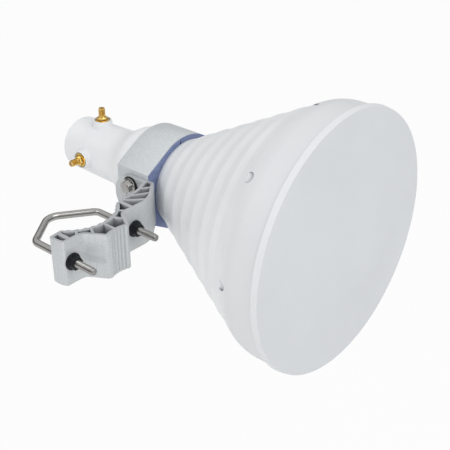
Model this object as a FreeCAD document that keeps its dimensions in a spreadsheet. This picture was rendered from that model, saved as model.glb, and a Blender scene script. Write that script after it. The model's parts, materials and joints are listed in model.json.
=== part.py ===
import FreeCAD, Part
import math
import os
import re
import Sketcher

V = FreeCAD.Vector
doc = FreeCAD.newDocument("HornAntenna")

# Sizes in millimetres and degrees. The part stands in the frame of the mast: the mast's axis is Z,
# the horn looks along -Y and its own axis runs beside the mast. Horn pieces measure Y from the mouth.
SIZES = [
    ("horn_x", 124.2, "mast axis to horn axis"),
    ("pivot_set", 12.0, "tilt pivot behind the mast axis"),
    ("running_gap", 0.3, "air between pieces that move on each other"),
    ("fit_gap", 0.1, "air between pieces that are assembled together"),
    ("skirt_r", 112.1, "skirt radius"),
    ("skirt_end", 24.6, "where the skirt starts to curve into the cone"),
    ("skirt_blend_r", 32.3, "curve from skirt to cone"),
    ("cap_overhang", 1.9, "rim of the radome cap outside the skirt"),
    ("cap_draft", 0.8, "how much smaller the cap is at its face"),
    ("cap_depth", 5.1, "depth of the cap's rim"),
    ("cap_face_t", 2.5, "thickness of the cap's face"),
    ("cap_edge_r", 0.5, "rounding of the cap's front edge"),
    ("cap_spigot_depth", 6.0, "spigot of the cap inside the mouth"),
    ("cap_spigot_t", 2.0, "wall of the spigot"),
    ("gasket_t", 1.0, "gasket thickness"),
    ("gasket_w", 4.5, "gasket width"),
    ("mouth_wall", 7.6, "casting wall at the mouth"),
    ("bore_depth", 41.0, "end of the straight mouth bore"),
    ("ridge_y", 40.2, "first ridge of the flutes"),
    ("ridge_drop", 4.4, "first ridge inside the skirt radius"),
    ("flute_pitch", 18.6, "ridge to ridge along the axis"),
    ("flute_count", 7.0, "number of flutes"),
    ("flute_depth", 1.0, "valley under the line from ridge to ridge"),
    ("valley_share", 0.16, "part of each slope that the rounded valley takes"),
    ("valley_r", 16.0, "rounding of the valleys"),
    ("neck_r", 40.9, "neck radius in front of the liner"),
    ("neck_step", 2.2, "journal inside the neck radius"),
    ("wall", 3.0, "casting wall"),
    ("journal_tail", 10.1, "journal behind the collar"),
    ("shoulder_r", 19.0, "convex curve of the rear shoulder"),
    ("shoulder_foot_r", 36.3, "concave curve of the rear shoulder"),
    ("shoulder_slope", 30.0, "slope of the rear shoulder in degrees"),
    ("tube_len", 55.6, "tube behind the shoulder"),
    ("tube_r", 26.8, "tube radius at the shoulder"),
    ("tube_taper", 1.3, "how much smaller the tube is at its rear face"),
    ("tube_edge_r", 1.5, "rounding of the rear edge"),
    ("spot_count", 8.0, "pockets around the skirt"),
    ("spot_r", 4.5, "radius of a pocket"),
    ("spot_y", 37.2, "centre of a pocket"),
    ("spot_depth", 4.3, "floor of a pocket under the skirt radius"),
    ("port_back", 30.6, "connector axis in front of the tube's rear face"),
    ("boss_r", 9.3, "boss radius"),
    ("boss_foot_r", 1.8, "fillet at the foot of the boss"),
    ("boss_rise", 1.4, "shoulder of the boss over the tube radius"),
    ("boss_rim_r", 8.7, "rim radius"),
    ("boss_rim_h", 1.8, "rim height"),
    ("boss_root", 0.3, "foot of the boss inside the tube's wall"),
    ("seat_r", 7.6, "radius of the connector's recess"),
    ("seat_depth", 1.6, "depth of the recess"),
    ("stud_r", 3.1, "connector stud radius"),
    ("flange_r", 6.7, "connector flange radius"),
    ("flange_h", 1.5, "connector flange height"),
    ("flange_step", 0.6, "step under the flange that locates the seal"),
    ("hex_af", 9.6, "connector hexagon across flats"),
    ("hex_h", 3.7, "connector hexagon height"),
    ("relief_r", 2.65, "relief between hexagon and thread"),
    ("relief_h", 1.2, "height of the relief"),
    ("thread_r", 3.175, "coupling thread radius, quarter inch"),
    ("thread_h", 8.5, "coupling thread height"),
    ("thread_edge", 0.35, "chamfer at both ends of the thread"),
    ("socket_r", 2.3, "mating bore radius"),
    ("socket_depth", 1.9, "mating bore depth"),
    ("dielectric_r", 2.05, "insulator radius"),
    ("contact_r", 0.64, "centre contact radius"),
    ("contact_bore_r", 0.46, "bore of the centre contact"),
    ("contact_bore_depth", 2.0, "depth of that bore"),
    ("probe_r", 1.6, "probe radius"),
    ("probe_edge", 0.3, "chamfer of the probe's tip"),
    ("probe_inset", 0.8, "root of the probe inside the tube's wall"),
    ("probe_len", 12.0, "length of the probe"),
    ("seal_t", 0.8, "thickness of the connector's flat seal"),
    ("seal_in_r", 3.7, "inner radius of the seal"),
    ("seal_out_r", 5.9, "outer radius of the seal"),
    ("liner_lip_t", 1.4, "thickness of the liner's lip"),
    ("liner_wall", 2.4, "wall of the liner's sleeve"),
    ("split_w", 1.6, "width of the liner's split"),
    ("split_angle", 100.0, "place of the split around the axis"),
    ("collar_len", 39.1, "liner's lip and collar together"),
    ("collar_wall", 3.7, "collar's wall outside the liner"),
    ("flat_stand", 2.8, "flat of the collar outside the collar radius"),
    ("collar_flat_half", 24.0, "half height of the flat"),
    ("pivot_back", 18.1, "tilt pivot behind the liner's front face"),
    ("spigot_r", 6.0, "pivot spigot radius"),
    ("ear_t", 5.2, "thickness of the bracket's ear"),
    ("tilt_bolt_pitch_r", 12.0, "tilt bolts from the pivot"),
    ("tilt_slot_half", 3.4, "half width of the curved slots"),
    ("tilt_slot_angle", 60.0, "centre angle covered by a curved slot"),
    ("bolt_r", 3.0, "M6 thread radius"),
    ("bolt_drop", 7.2, "reach of a tilt bolt into the collar"),
    ("tapped_depth", 20.0, "depth of the tapped holes"),
    ("bolt_head_af", 10.0, "tilt bolt across flats"),
    ("bolt_head_h", 6.5, "tilt bolt head height"),
    ("head_flange_r", 7.1, "flange radius of the tilt bolts"),
    ("head_flange_t", 1.2, "thickness of a flange at its edge"),
    ("head_cone_h", 0.7, "rise of a flange from its edge to the hexagon"),
    ("nut_flange_r", 7.2, "flange radius of the nuts"),
    ("washer_r", 8.0, "tilt washer radius"),
    ("washer_t", 1.0, "tilt washer thickness"),
    ("seat_v", -30.0, "front seat of the bracket from the mast axis"),
    ("bracket_h", 39.5, "length of the extrusion"),
    ("skin_t", 2.6, "outer wall of the extrusion"),
    ("web_t", 2.0, "webs of the extrusion"),
    ("rod_web_t", 3.5, "webs along the V-bolt"),
    ("nose_half", 11.3, "half width of the nose"),
    ("nose_reach", 18.0, "nose in front of the seat"),
    ("nose_foot", 22.0, "half width of the nose at the seat"),
    ("front_jaw_r", 25.0, "front jaw radius"),
    ("front_tooth", 3.5, "pitch of the front teeth"),
    ("rear_jaw_half", 29.6, "half width of the rear jaw"),
    ("rear_jaw_edge", 16.2, "edge of the rear jaw behind the seat"),
    ("rear_jaw_r", 35.9, "rear jaw radius"),
    ("rear_tooth", 6.5, "pitch of the rear teeth"),
    ("tooth_h", 1.0, "height of the teeth"),
    ("end_u", 40.3, "closed end of the bracket from the mast axis, in front"),
    ("end_rear_u", 41.6, "closed end of the bracket from the mast axis, at the rear"),
    ("end_drop", 1.0, "closed end's rear corner in front of the jaw's edge"),
    ("end_bulge_r", 21.3, "curve of the closed end"),
    ("foot_r", 7.0, "hollow curve from the seat to the nose"),
    ("tip_r", 3.0, "rounding of the nose"),
    ("arm_front_r", 30.0, "curve at the front of the arm"),
    ("arm_back_r", 22.0, "curve at the back of the arm"),
    ("end_r", 1.6, "rounding of the closed end's corners"),
    ("shoulder_u", 53.3, "where the front of the arm turns back"),
    ("ear_front_v", 18.2, "front corner of the ear behind the seat"),
    ("arm_back_u", 58.0, "where the back of the arm turns"),
    ("arm_back_v", 20.6, "depth of the arm there"),
    ("ear_root_v", 26.4, "where the arm meets the ear"),
    ("ear_lap", 3.0, "how far the ear reaches into the arm"),
    ("ear_web_back_u", 60.2, "web nearest the ear, rear end, from the mast axis"),
    ("ear_web_back_v", 20.5, "the same end, behind the seat"),
    ("ear_web_front_u", 70.7, "web nearest the ear, front end"),
    ("ear_web_front_v", 13.9, "the same end, behind the seat"),
    ("arm_web_back_u", 46.2, "web in the arm, rear end"),
    ("arm_web_back_v", 17.3, "the same end, behind the seat"),
    ("arm_web_front_u", 62.6, "web in the arm, front end"),
    ("arm_web_front_v", 7.6, "the same end, behind the seat"),
    ("root_web_back_u", 37.0, "web at the root of the arm, rear end"),
    ("root_web_back_v", 16.2, "the same end, behind the seat"),
    ("root_web_front_u", 52.0, "web at the root of the arm, front end"),
    ("root_web_front_v", 1.6, "the same end, behind the seat"),
    ("foot_web_back_u", 20.8, "webs at the foot of the nose, rear end"),
    ("foot_web_back_v", 7.6, "the same end, behind the seat"),
    ("foot_web_front_u", 27.0, "webs at the foot of the nose, front end"),
    ("foot_web_front_v", 0.8, "the same end, behind the seat"),
    ("nose_web_back_u", 11.8, "webs in the nose, rear end"),
    ("nose_web_back_v", 1.0, "the same end, behind the seat"),
    ("nose_web_front_u", 17.2, "webs in the nose, front end"),
    ("nose_web_front_v", -8.4, "the same end, behind the seat"),
    ("rod_r", 3.175, "V-bolt rod radius, quarter inch"),
    ("rod_half", 33.6, "V-bolt legs from the mast axis"),
    ("rod_tip", -55.0, "threaded tips of the V-bolt"),
    ("v_corner", 16.0, "corner of the V-bolt behind the mast axis"),
    ("v_apex", 40.7, "apex of the V-bolt behind the mast axis"),
    ("v_bend_r", 8.0, "bend at the corners"),
    ("v_apex_r", 13.0, "bend at the apex"),
    ("nut_af", 10.0, "flange nut across flats"),
    ("nut_h", 6.3, "flange nut height"),
]

# Sizes that follow from those above. The horn's stations run from the mouth to the rear,
# and the ports' stations run outward from the horn's axis.
FOLLOWING = {
    "cap_r": "skirt_r + cap_overhang",
    "cap_face_r": "cap_r - cap_draft",
    "bore_r": "skirt_r - mouth_wall",
    "ridge_r": "skirt_r - ridge_drop",
    "spot_floor": "skirt_r - spot_depth",
    "journal_r": "neck_r - neck_step",
    "neck_y": "ridge_y + flute_count*flute_pitch",
    "collar_rear": "neck_y + collar_len",
    "pivot_y": "neck_y + pivot_back",
    "mouth_y": "pivot_set - pivot_y",
    "shoulder_start": "collar_rear + journal_tail",
    "curve_drop": "1 - cos(shoulder_slope*1 deg)",
    "curve_run": "sin(shoulder_slope*1 deg)",
    "shoulder_curves": "shoulder_r + shoulder_foot_r",
    "shoulder_run": "(journal_r - tube_r - shoulder_curves*curve_drop)/tan(shoulder_slope*1 deg)",
    "shoulder_end": "shoulder_start + shoulder_curves*curve_run + shoulder_run",
    "tube_end": "shoulder_end + tube_len",
    "port_y": "tube_end - port_back",
    "boss_top": "tube_r + boss_rise",
    "boss_rim_top": "boss_top + boss_rim_h",
    "seat_z": "boss_rim_top - seat_depth",
    "flange_top": "seat_z + flange_h",
    "hex_top": "flange_top + hex_h",
    "thread_start": "hex_top + relief_h",
    "thread_top": "thread_start + thread_h",
    "socket_floor": "thread_top - socket_depth",
    "tube_inner": "tube_r - wall",
    "probe_root": "tube_inner - probe_inset",
    "probe_reach": "probe_root - probe_len",
    "liner_bore": "journal_r + running_gap",
    "liner_out": "liner_bore + liner_wall",
    "collar_bore": "liner_out + fit_gap",
    "collar_r": "collar_bore + collar_wall",
    "collar_flat": "collar_r + flat_stand",
    "jaw_front_v": "sqrt(front_jaw_r^2 - nose_half^2)",
    "jaw_rear_v": "sqrt(rear_jaw_r^2 - rear_jaw_half^2)",
}

sheet = doc.addObject("Spreadsheet::Sheet", "Sizes")
for row, (name, number, meaning) in enumerate(SIZES, start=1):
    sheet.set(f"A{row}", name)
    sheet.set(f"B{row}", str(number))
    sheet.set(f"C{row}", meaning)
    sheet.setAlias(f"B{row}", name)
doc.recompute()
NAMES = {name for name, number, meaning in SIZES}


def linked(text):
    """An expression in which every size is taken from the sheet."""
    def known(found):
        word = found.group(0)
        if word in FOLLOWING:
            return f"({linked(FOLLOWING[word])})"
        return f"Sizes.{word}" if word in NAMES else word

    return re.sub(r"[a-z][a-z_]*", known, text)


def size(text):
    """The number that an expression gives now."""
    found = sheet.evalExpression(linked(text))
    return float(getattr(found, "Value", found))


def bind(thing, prop, text):
    thing.setExpression(prop, linked(text))


def new_body(label):
    body = doc.addObject("PartDesign::Body", label)
    body.Label = label
    return body


def new_sketch(body, name, plane, offset=None):
    """A sketch on one of the body's own planes, moved along the plane's normal."""
    sketch = body.newObject("Sketcher::SketchObject", name)
    origin_plane = [f for f in body.Origin.OriginFeatures if f.Role == plane][0]
    sketch.AttachmentSupport = (origin_plane, [""])
    sketch.MapMode = "FlatFace"
    if offset:
        bind(sketch, "AttachmentOffset.Base.z", offset)
    return sketch


def pin(sketch, item, end, x, y):
    """Hold one point of a sketch at two sizes."""
    for kind, text in (("DistanceX", x), ("DistanceY", y)):
        index = sketch.addConstraint(Sketcher.Constraint(kind, -1, 1, item, end, size(text)))
        sketch.setExpression(f"Constraints[{index}]", linked(text))


def outline(sketch, steps):
    """A closed outline. Each step is a corner (x, y), with a radius if the edge after it is an arc:
    a plus radius turns left on the way to the next corner, a minus radius turns right."""
    first = sketch.GeometryCount
    count = len(steps)
    for i, step in enumerate(steps):
        following = steps[(i + 1) % count]
        start = V(size(step[0]), size(step[1]), 0)
        end = V(size(following[0]), size(following[1]), 0)
        if len(step) == 2:
            sketch.addGeometry(Part.LineSegment(start, end), False)
            continue
        turn = step[3]
        radius = size(step[2])
        chord = end - start
        depth = radius - math.sqrt(radius ** 2 - (chord.Length / 2) ** 2)
        side = V(chord.y, -chord.x, 0).normalize()
        middle = (start + end) * 0.5 + side * depth * turn
        sketch.addGeometry(Part.Arc(start, middle, end), False)
    for i, step in enumerate(steps):
        item = first + i
        begins = V(size(step[0]), size(step[1]), 0)
        start_point = 1 if (sketch.getPoint(item, 1) - begins).Length < 1e-6 else 2
        pin(sketch, item, start_point, step[0], step[1])
        if len(step) > 2:
            index = sketch.addConstraint(Sketcher.Constraint("Radius", item, size(step[2])))
            sketch.setExpression(f"Constraints[{index}]", linked(step[2]))
    for i in range(count):
        item = first + i
        following = first + (i + 1) % count
        target = V(size(steps[(i + 1) % count][0]), size(steps[(i + 1) % count][1]), 0)
        here = 2 if (sketch.getPoint(item, 2) - target).Length < 1e-6 else 1
        there = 1 if (sketch.getPoint(following, 1) - target).Length < 1e-6 else 2
        sketch.addConstraint(Sketcher.Constraint("Coincident", item, here, following, there))


def circle(sketch, x, y, radius):
    item = sketch.addGeometry(Part.Circle(V(size(x), size(y), 0), V(0, 0, 1), size(radius)), False)
    pin(sketch, item, 3, x, y)
    index = sketch.addConstraint(Sketcher.Constraint("Radius", item, size(radius)))
    sketch.setExpression(f"Constraints[{index}]", linked(radius))


def spin(body, kind, sketch, name, axis=None):
    """Turn a profile round its own vertical axis, to add or to cut."""
    feature = body.newObject(f"PartDesign::{kind}", name)
    feature.Profile = sketch
    feature.ReferenceAxis = (sketch, [axis or "V_Axis"])
    feature.Angle = 360
    sketch.Visibility = False
    body.Tip = feature
    return feature


def sweep(body, kind, sketch, name, length, reverse=False, both=False):
    """Push a profile straight, to add or to cut."""
    feature = body.newObject(f"PartDesign::{kind}", name)
    feature.Profile = sketch
    feature.SideType = "Symmetric" if both else "One side"
    feature.Reversed = reverse
    bind(feature, "Length", length)
    sketch.Visibility = False
    body.Tip = feature
    return feature


def around(body, originals, name, axis, angle, count):
    """Copies of features round an axis of the body."""
    pattern = body.newObject("PartDesign::PolarPattern", name)
    pattern.Originals = originals
    line = [f for f in body.Origin.OriginFeatures if f.Role == axis][0]
    pattern.Axis = (line, [""])
    pattern.Angle = angle
    if isinstance(count, str):
        bind(pattern, "Occurrences", count)
    else:
        pattern.Occurrences = count
    body.Tip = pattern
    return pattern


def on_horn(thing):
    """Place a horn piece on the horn's axis with Y measured from the mouth."""
    bind(thing, "Placement.Base.x", "horn_x")
    bind(thing, "Placement.Base.y", "mouth_y")


def mirrored_pair(source, label, normal):
    """One node that holds a fastener and its mirror image."""
    twin = doc.addObject("Part::Mirroring", f"{label}_twin")
    twin.Source = source
    twin.Normal = normal
    pair = doc.addObject("Part::Compound", label)
    pair.Label = label
    pair.Links = [source, twin]
    return pair


# Radome cap: a face with a rim outside the skirt and a spigot inside the mouth.
def make_radome_cap():
    body = new_body("radome_cap")
    on_horn(body)
    sketch = new_sketch(body, "cap_profile", "XY_Plane")
    inner = "bore_r - running_gap"
    outline(sketch, [
        ("0", "0"),
        ("cap_face_r - cap_edge_r", "0", "cap_edge_r", 1),
        ("cap_face_r", "cap_edge_r"),
        ("cap_r", "cap_depth"),
        ("skirt_r + running_gap", "cap_depth"),
        ("skirt_r + running_gap", "cap_face_t"),
        (inner, "cap_face_t"),
        (inner, "cap_spigot_depth"),
        (f"{inner} - cap_spigot_t", "cap_spigot_depth"),
        (f"{inner} - cap_spigot_t", "cap_face_t"),
        ("0", "cap_face_t"),
    ])
    spin(body, "Revolution", sketch, "cap_turned")
    return body


# Gasket between the cap's face and the casting's lip.
def make_radome_gasket():
    body = new_body("radome_gasket")
    on_horn(body)
    sketch = new_sketch(body, "gasket_profile", "XY_Plane")
    middle = "(bore_r + skirt_r)/2"
    outline(sketch, [
        (f"{middle} - gasket_w/2", "cap_face_t"),
        (f"{middle} + gasket_w/2", "cap_face_t"),
        (f"{middle} + gasket_w/2", "cap_face_t + gasket_t"),
        (f"{middle} - gasket_w/2", "cap_face_t + gasket_t"),
    ])
    spin(body, "Revolution", sketch, "gasket_turned")
    return body


# Horn casting: skirt, hollow flutes along the cone, neck, journal, shoulder, tube and two bosses.
def make_horn_body():
    body = new_body("horn_body")
    on_horn(body)
    rise = "(ridge_r - neck_r)/flute_count"
    steps = [
        ("bore_r", "cap_face_t + gasket_t"),
        ("skirt_r", "cap_face_t + gasket_t"),
        ("skirt_r", "skirt_end", "skirt_blend_r", 1),
    ]
    flutes = int(size("flute_count"))
    for k in range(flutes):
        radius = f"(ridge_r - {k}*{rise})"
        ridge = (radius, f"ridge_y + {k}*flute_pitch")
        low = f"({radius} - {rise}/2 - flute_depth)"
        back = f"({radius} - {rise})"
        steps += [
            ridge,
            (f"{low} + valley_share*({radius} - {low})",
             f"ridge_y + ({k} + 0.5 - 0.5*valley_share)*flute_pitch", "valley_r", -1),
            (f"{low} + valley_share*({back} - {low})",
             f"ridge_y + ({k} + 0.5 + 0.5*valley_share)*flute_pitch"),
        ]
    steps += [
        ("neck_r", "neck_y"),
        ("journal_r", "neck_y"),
        ("journal_r", "shoulder_start", "shoulder_r", 1),
        ("journal_r - shoulder_r*curve_drop", "shoulder_start + shoulder_r*curve_run"),
        ("tube_r + shoulder_foot_r*curve_drop", "shoulder_end - shoulder_foot_r*curve_run",
         "shoulder_foot_r", -1),
        ("tube_r", "shoulder_end"),
        ("tube_r - tube_taper", "tube_end - tube_edge_r", "tube_edge_r", 1),
        ("tube_r - tube_taper - tube_edge_r", "tube_end"),
        ("0", "tube_end"),
        ("0", "tube_end - wall"),
        ("tube_inner - tube_taper", "tube_end - wall"),
        ("tube_inner", "shoulder_end", "shoulder_foot_r + wall", 1),
        ("tube_inner + (shoulder_foot_r + wall)*curve_drop",
         "shoulder_end - (shoulder_foot_r + wall)*curve_run"),
        ("journal_r - wall - (shoulder_r - wall)*curve_drop",
         "shoulder_start + (shoulder_r - wall)*curve_run", "shoulder_r - wall", -1),
        ("journal_r - wall", "shoulder_start"),
        ("journal_r - wall", "neck_y"),
        ("bore_r", "bore_depth"),
    ]
    profile = new_sketch(body, "horn_profile", "XY_Plane")
    outline(profile, steps)
    spin(body, "Revolution", profile, "horn_turned")
    doc.recompute()

    spot = new_sketch(body, "spot_circle", "YZ_Plane", "-spot_floor")
    circle(spot, "spot_y", "0", "spot_r")
    spot_cut = sweep(body, "Pocket", spot, "spot_face", "spot_depth + skirt_r/10", reverse=False)
    doc.recompute()
    around(body, [spot_cut], "spots_around", "Y_Axis", 360, "spot_count")
    doc.recompute()

    # Each boss is turned round its own line, square to the horn's axis.
    boss = new_sketch(body, "boss_profile", "YZ_Plane")
    boss.AttachmentOffset = FreeCAD.Placement(V(size("port_y"), 0, 0), FreeCAD.Rotation())
    bind(boss, "AttachmentOffset.Base.x", "port_y")
    outline(boss, [
        ("stud_r + fit_gap", "tube_inner + boss_root"),
        ("boss_r", "tube_inner + boss_root"),
        ("boss_r", "boss_top"),
        ("boss_rim_r", "boss_top"),
        ("boss_rim_r", "boss_rim_top"),
        ("seat_r", "boss_rim_top"),
        ("seat_r", "seat_z"),
        ("stud_r + fit_gap", "seat_z"),
    ])
    boss_turned = spin(body, "Revolution", boss, "boss_turned")
    feed = new_sketch(body, "feed_profile", "YZ_Plane")
    feed.AttachmentOffset = FreeCAD.Placement(V(size("port_y"), 0, 0), FreeCAD.Rotation())
    bind(feed, "AttachmentOffset.Base.x", "port_y")
    outline(feed, [
        ("0", "probe_root"),
        ("stud_r + fit_gap", "probe_root"),
        ("stud_r + fit_gap", "seat_z"),
        ("0", "seat_z"),
    ])
    feed_cut = spin(body, "Groove", feed, "feed_bore")
    doc.recompute()
    ports = around(body, [boss_turned, feed_cut], "two_ports", "Y_Axis", 90, 2)
    ports.Reversed = True
    doc.recompute()
    feet = body.newObject("PartDesign::Fillet", "boss_feet")
    feet.Base = (ports, boss_foot_edges(ports.Shape))
    feet.Radius = size("boss_foot_r")
    bind(feet, "Radius", "boss_foot_r")
    body.Tip = feet
    doc.recompute()
    return body


def boss_foot_edges(shape):
    """Names of the edges where a boss meets the outside of the tube."""
    names = []
    port_y = size("port_y")
    boss_r = size("boss_r")
    tube_low = size("tube_r - tube_taper") - 0.01
    tube_high = size("tube_r") + 0.01
    for index, edge in enumerate(shape.Edges, start=1):
        spots = edge.discretize(7)
        on_tube = all(tube_low < math.hypot(p.x, p.z) < tube_high for p in spots)
        off_axis = [min(math.hypot(p.x, p.y - port_y), math.hypot(p.z, p.y - port_y)) for p in spots]
        if on_tube and all(abs(d - boss_r) < 0.01 for d in off_axis):
            names.append(f"Edge{index}")
    return names


# The collar's outline is also that of the liner's lip: a circle run out to a flat on the mast's side.
def make_ring(body, prefix, front, length):
    """A block with the collar's outline between two stations of the horn's axis."""
    disc = new_sketch(body, f"{prefix}_round", "XZ_Plane", f"-({front})")
    circle(disc, "0", "0", "collar_r")
    sweep(body, "Pad", disc, f"{prefix}_disc", length, reverse=True)
    lug = new_sketch(body, f"{prefix}_lug_outline", "XZ_Plane", f"-({front})")
    reach = "sqrt(collar_flat^2 + collar_flat_half^2)"
    lean = f"(180 deg - atan(collar_flat_half/collar_flat) - acos(collar_r/{reach}))"
    outline(lug, [
        (f"collar_r*cos({lean})", f"collar_r*sin({lean})"),
        ("-collar_flat", "collar_flat_half"),
        ("-collar_flat", "-collar_flat_half"),
        (f"collar_r*cos({lean})", f"-collar_r*sin({lean})"),
    ])
    sweep(body, "Pad", lug, f"{prefix}_lug", length, reverse=True)


# Liner: a lip seen in front of the collar and a split sleeve inside it.
def make_liner_ring():
    body = new_body("liner_ring")
    on_horn(body)
    make_ring(body, "lip", "neck_y", "liner_lip_t")
    sleeve = new_sketch(body, "sleeve_round", "XZ_Plane", "-neck_y")
    circle(sleeve, "0", "0", "liner_out")
    sweep(body, "Pad", sleeve, "sleeve", "collar_len", reverse=True)
    doc.recompute()
    bore = new_sketch(body, "liner_bore_circle", "XZ_Plane", "-neck_y")
    circle(bore, "0", "0", "liner_bore")
    sweep(body, "Pocket", bore, "liner_bore", "collar_len", reverse=False)
    split = new_sketch(body, "split_outline", "XZ_Plane", "-neck_y")
    along = ("cos(split_angle*1 deg)", "sin(split_angle*1 deg)")
    near, far, half = "(liner_bore - split_w)", "(collar_r + split_w)", "split_w/2"
    outline(split, [
        (f"{near}*{along[0]} + {half}*{along[1]}", f"{near}*{along[1]} - {half}*{along[0]}"),
        (f"{far}*{along[0]} + {half}*{along[1]}", f"{far}*{along[1]} - {half}*{along[0]}"),
        (f"{far}*{along[0]} - {half}*{along[1]}", f"{far}*{along[1]} + {half}*{along[0]}"),
        (f"{near}*{along[0]} - {half}*{along[1]}", f"{near}*{along[1]} + {half}*{along[0]}"),
    ])
    sweep(body, "Pocket", split, "split", "collar_len", reverse=False)
    doc.recompute()
    return body


# Collar: holds the liner, carries the pivot spigot and the threads of the tilt bolts.
def make_collar():
    body = new_body("collar")
    on_horn(body)
    front = "neck_y + liner_lip_t"
    length = "collar_len - liner_lip_t"
    make_ring(body, "collar", front, length)
    spigot = new_sketch(body, "spigot_circle", "YZ_Plane", "-collar_flat")
    circle(spigot, "pivot_y", "0", "spigot_r")
    sweep(body, "Pad", spigot, "spigot", "ear_t - running_gap", reverse=True)
    doc.recompute()
    bore = new_sketch(body, "collar_bore_circle", "XZ_Plane", f"-({front})")
    circle(bore, "0", "0", "collar_bore")
    sweep(body, "Pocket", bore, "collar_bore", length, reverse=False)
    tapped = new_sketch(body, "tapped_circles", "YZ_Plane", "-collar_flat")
    for sign in ("", "-"):
        circle(tapped, "pivot_y", f"{sign}tilt_bolt_pitch_r", "bolt_r + fit_gap")
    sweep(body, "Pocket", tapped, "tapped_holes", "tapped_depth", reverse=True)
    doc.recompute()
    return body


def hexagon(sketch, af):
    """A regular hexagon round the origin with flats above and below."""
    corners = []
    for k in range(6):
        corners.append((f"{af}/sqrt(3)*cos({60*k} deg)", f"{af}/sqrt(3)*sin({60*k} deg)"))
    outline(sketch, corners)


def hex_with_flange(body, prefix, af, height, flange_radius):
    """A hexagon on a flange, seated at the origin and rising along the body's Z, corners chamfered."""
    hexa = new_sketch(body, f"{prefix}_hexagon", "XY_Plane")
    hexagon(hexa, af)
    sweep(body, "Pad", hexa, f"{prefix}_hex", height)
    flange = new_sketch(body, f"{prefix}_flange_profile", "XZ_Plane")
    outline(flange, [
        ("0", "0"),
        (flange_radius, "0"),
        (flange_radius, "head_flange_t"),
        (f"{af}/2", "head_flange_t + head_cone_h"),
        ("0", "head_flange_t + head_cone_h"),
    ])
    spin(body, "Revolution", flange, f"{prefix}_flange")
    doc.recompute()
    crown = new_sketch(body, f"{prefix}_crown_profile", "XZ_Plane")
    inside, outside = f"({af}/2 - fit_gap)", f"({af}/sqrt(3) + fit_gap)"
    outline(crown, [
        (inside, height),
        (outside, f"{height} - ({outside} - {inside})/2"),
        (outside, f"{height} + fit_gap"),
        (inside, f"{height} + fit_gap"),
    ])
    spin(body, "Groove", crown, f"{prefix}_crown")
    doc.recompute()


# Tilt bolts: two flanged hexagon bolts through the washers and the ear's curved slots into the collar.
def make_tilt_bolts():
    body = new_body("tilt_bolt")
    shank = new_sketch(body, "shank_circle", "XY_Plane")
    circle(shank, "0", "0", "bolt_r")
    sweep(body, "Pad", shank, "shank", "washer_t + ear_t + bolt_drop", reverse=True)
    hex_with_flange(body, "bolt", "bolt_head_af", "bolt_head_h", "head_flange_r")
    body.Placement = FreeCAD.Placement(V(), FreeCAD.Rotation(V(0, 1, 0), -90))
    bind(body, "Placement.Base.x", "horn_x - collar_flat - ear_t - washer_t")
    bind(body, "Placement.Base.y", "mouth_y + pivot_y")
    bind(body, "Placement.Base.z", "tilt_bolt_pitch_r")
    return mirrored_pair(body, "tilt_bolts", V(0, 0, 1))


# Washers between the tilt bolts and the ear.
def make_tilt_washers():
    body = new_body("tilt_washer")
    disc = new_sketch(body, "washer_circles", "XY_Plane")
    circle(disc, "0", "0", "washer_r")
    circle(disc, "0", "0", "bolt_r + fit_gap")
    sweep(body, "Pad", disc, "washer_disc", "washer_t")
    body.Placement = FreeCAD.Placement(V(), FreeCAD.Rotation(V(0, 1, 0), -90))
    bind(body, "Placement.Base.x", "horn_x - collar_flat - ear_t")
    bind(body, "Placement.Base.y", "mouth_y + pivot_y")
    bind(body, "Placement.Base.z", "tilt_bolt_pitch_r")
    return mirrored_pair(body, "tilt_washers", V(0, 0, 1))


# Bracket: a webbed extrusion with a serrated jaw on each side and an ear for the collar.
# Its outline lies in the XY plane; v counts from the front seat, so Y = seat_v + v.
def at(v):
    return f"seat_v + ({v})"


def teeth(sketch, centre_y, jaw_r, pitch, half, inward):
    """Saw teeth along a jaw, each a triangle with its foot sunk a little into the wall."""
    span = 2 * math.degrees(math.asin(size(half) / size(jaw_r)))
    step = math.degrees(size(pitch) / size(jaw_r))
    count = int((span - step/2) / step)
    for k in range(count):
        middle = (k - (count - 1) / 2) * step
        corners = []
        tip = f"({jaw_r} - tooth_h)"
        foot = f"({jaw_r} + tooth_h/2)"
        for radius, shift in ((foot, -0.48*step), (tip, 0.15*step), (foot, 0.48*step)):
            angle = f"({middle} + {shift})"
            corners.append((f"{radius}*sin({angle}*1 deg)", f"{centre_y} {inward} {radius}*cos({angle}*1 deg)"))
        if inward == "-":
            corners.reverse()
        outline(sketch, corners)


def web(sketch, start, end, thickness):
    """A straight web of even thickness between two points."""
    (u1, v1), (u2, v2) = start, end
    run, rise = size(f"{u2} - ({u1})"), size(f"{v2} - ({v1})")
    length = math.hypot(run, rise)
    nu, nv = -rise / length / 2, run / length / 2
    outline(sketch, [
        (f"{u1} - {nu}*{thickness}", at(f"{v1} - {nv}*{thickness}")),
        (f"{u2} - {nu}*{thickness}", at(f"{v2} - {nv}*{thickness}")),
        (f"{u2} + {nu}*{thickness}", at(f"{v2} + {nv}*{thickness}")),
        (f"{u1} + {nu}*{thickness}", at(f"{v1} + {nv}*{thickness}")),
    ])


def vertical_edges(shape, places, tolerance=0.05):
    """Names of the edges along Z that stand at the given places."""
    names = []
    for index, edge in enumerate(shape.Edges, start=1):
        if len(edge.Vertexes) < 2:
            continue
        a, b = edge.Vertexes[0].Point, edge.Vertexes[1].Point
        if abs(a.x - b.x) > 1e-4 or abs(a.y - b.y) > 1e-4:
            continue
        if any(math.hypot(a.x - x, a.y - y) < tolerance for x, y in places):
            names.append(f"Edge{index}")
    return names


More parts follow.
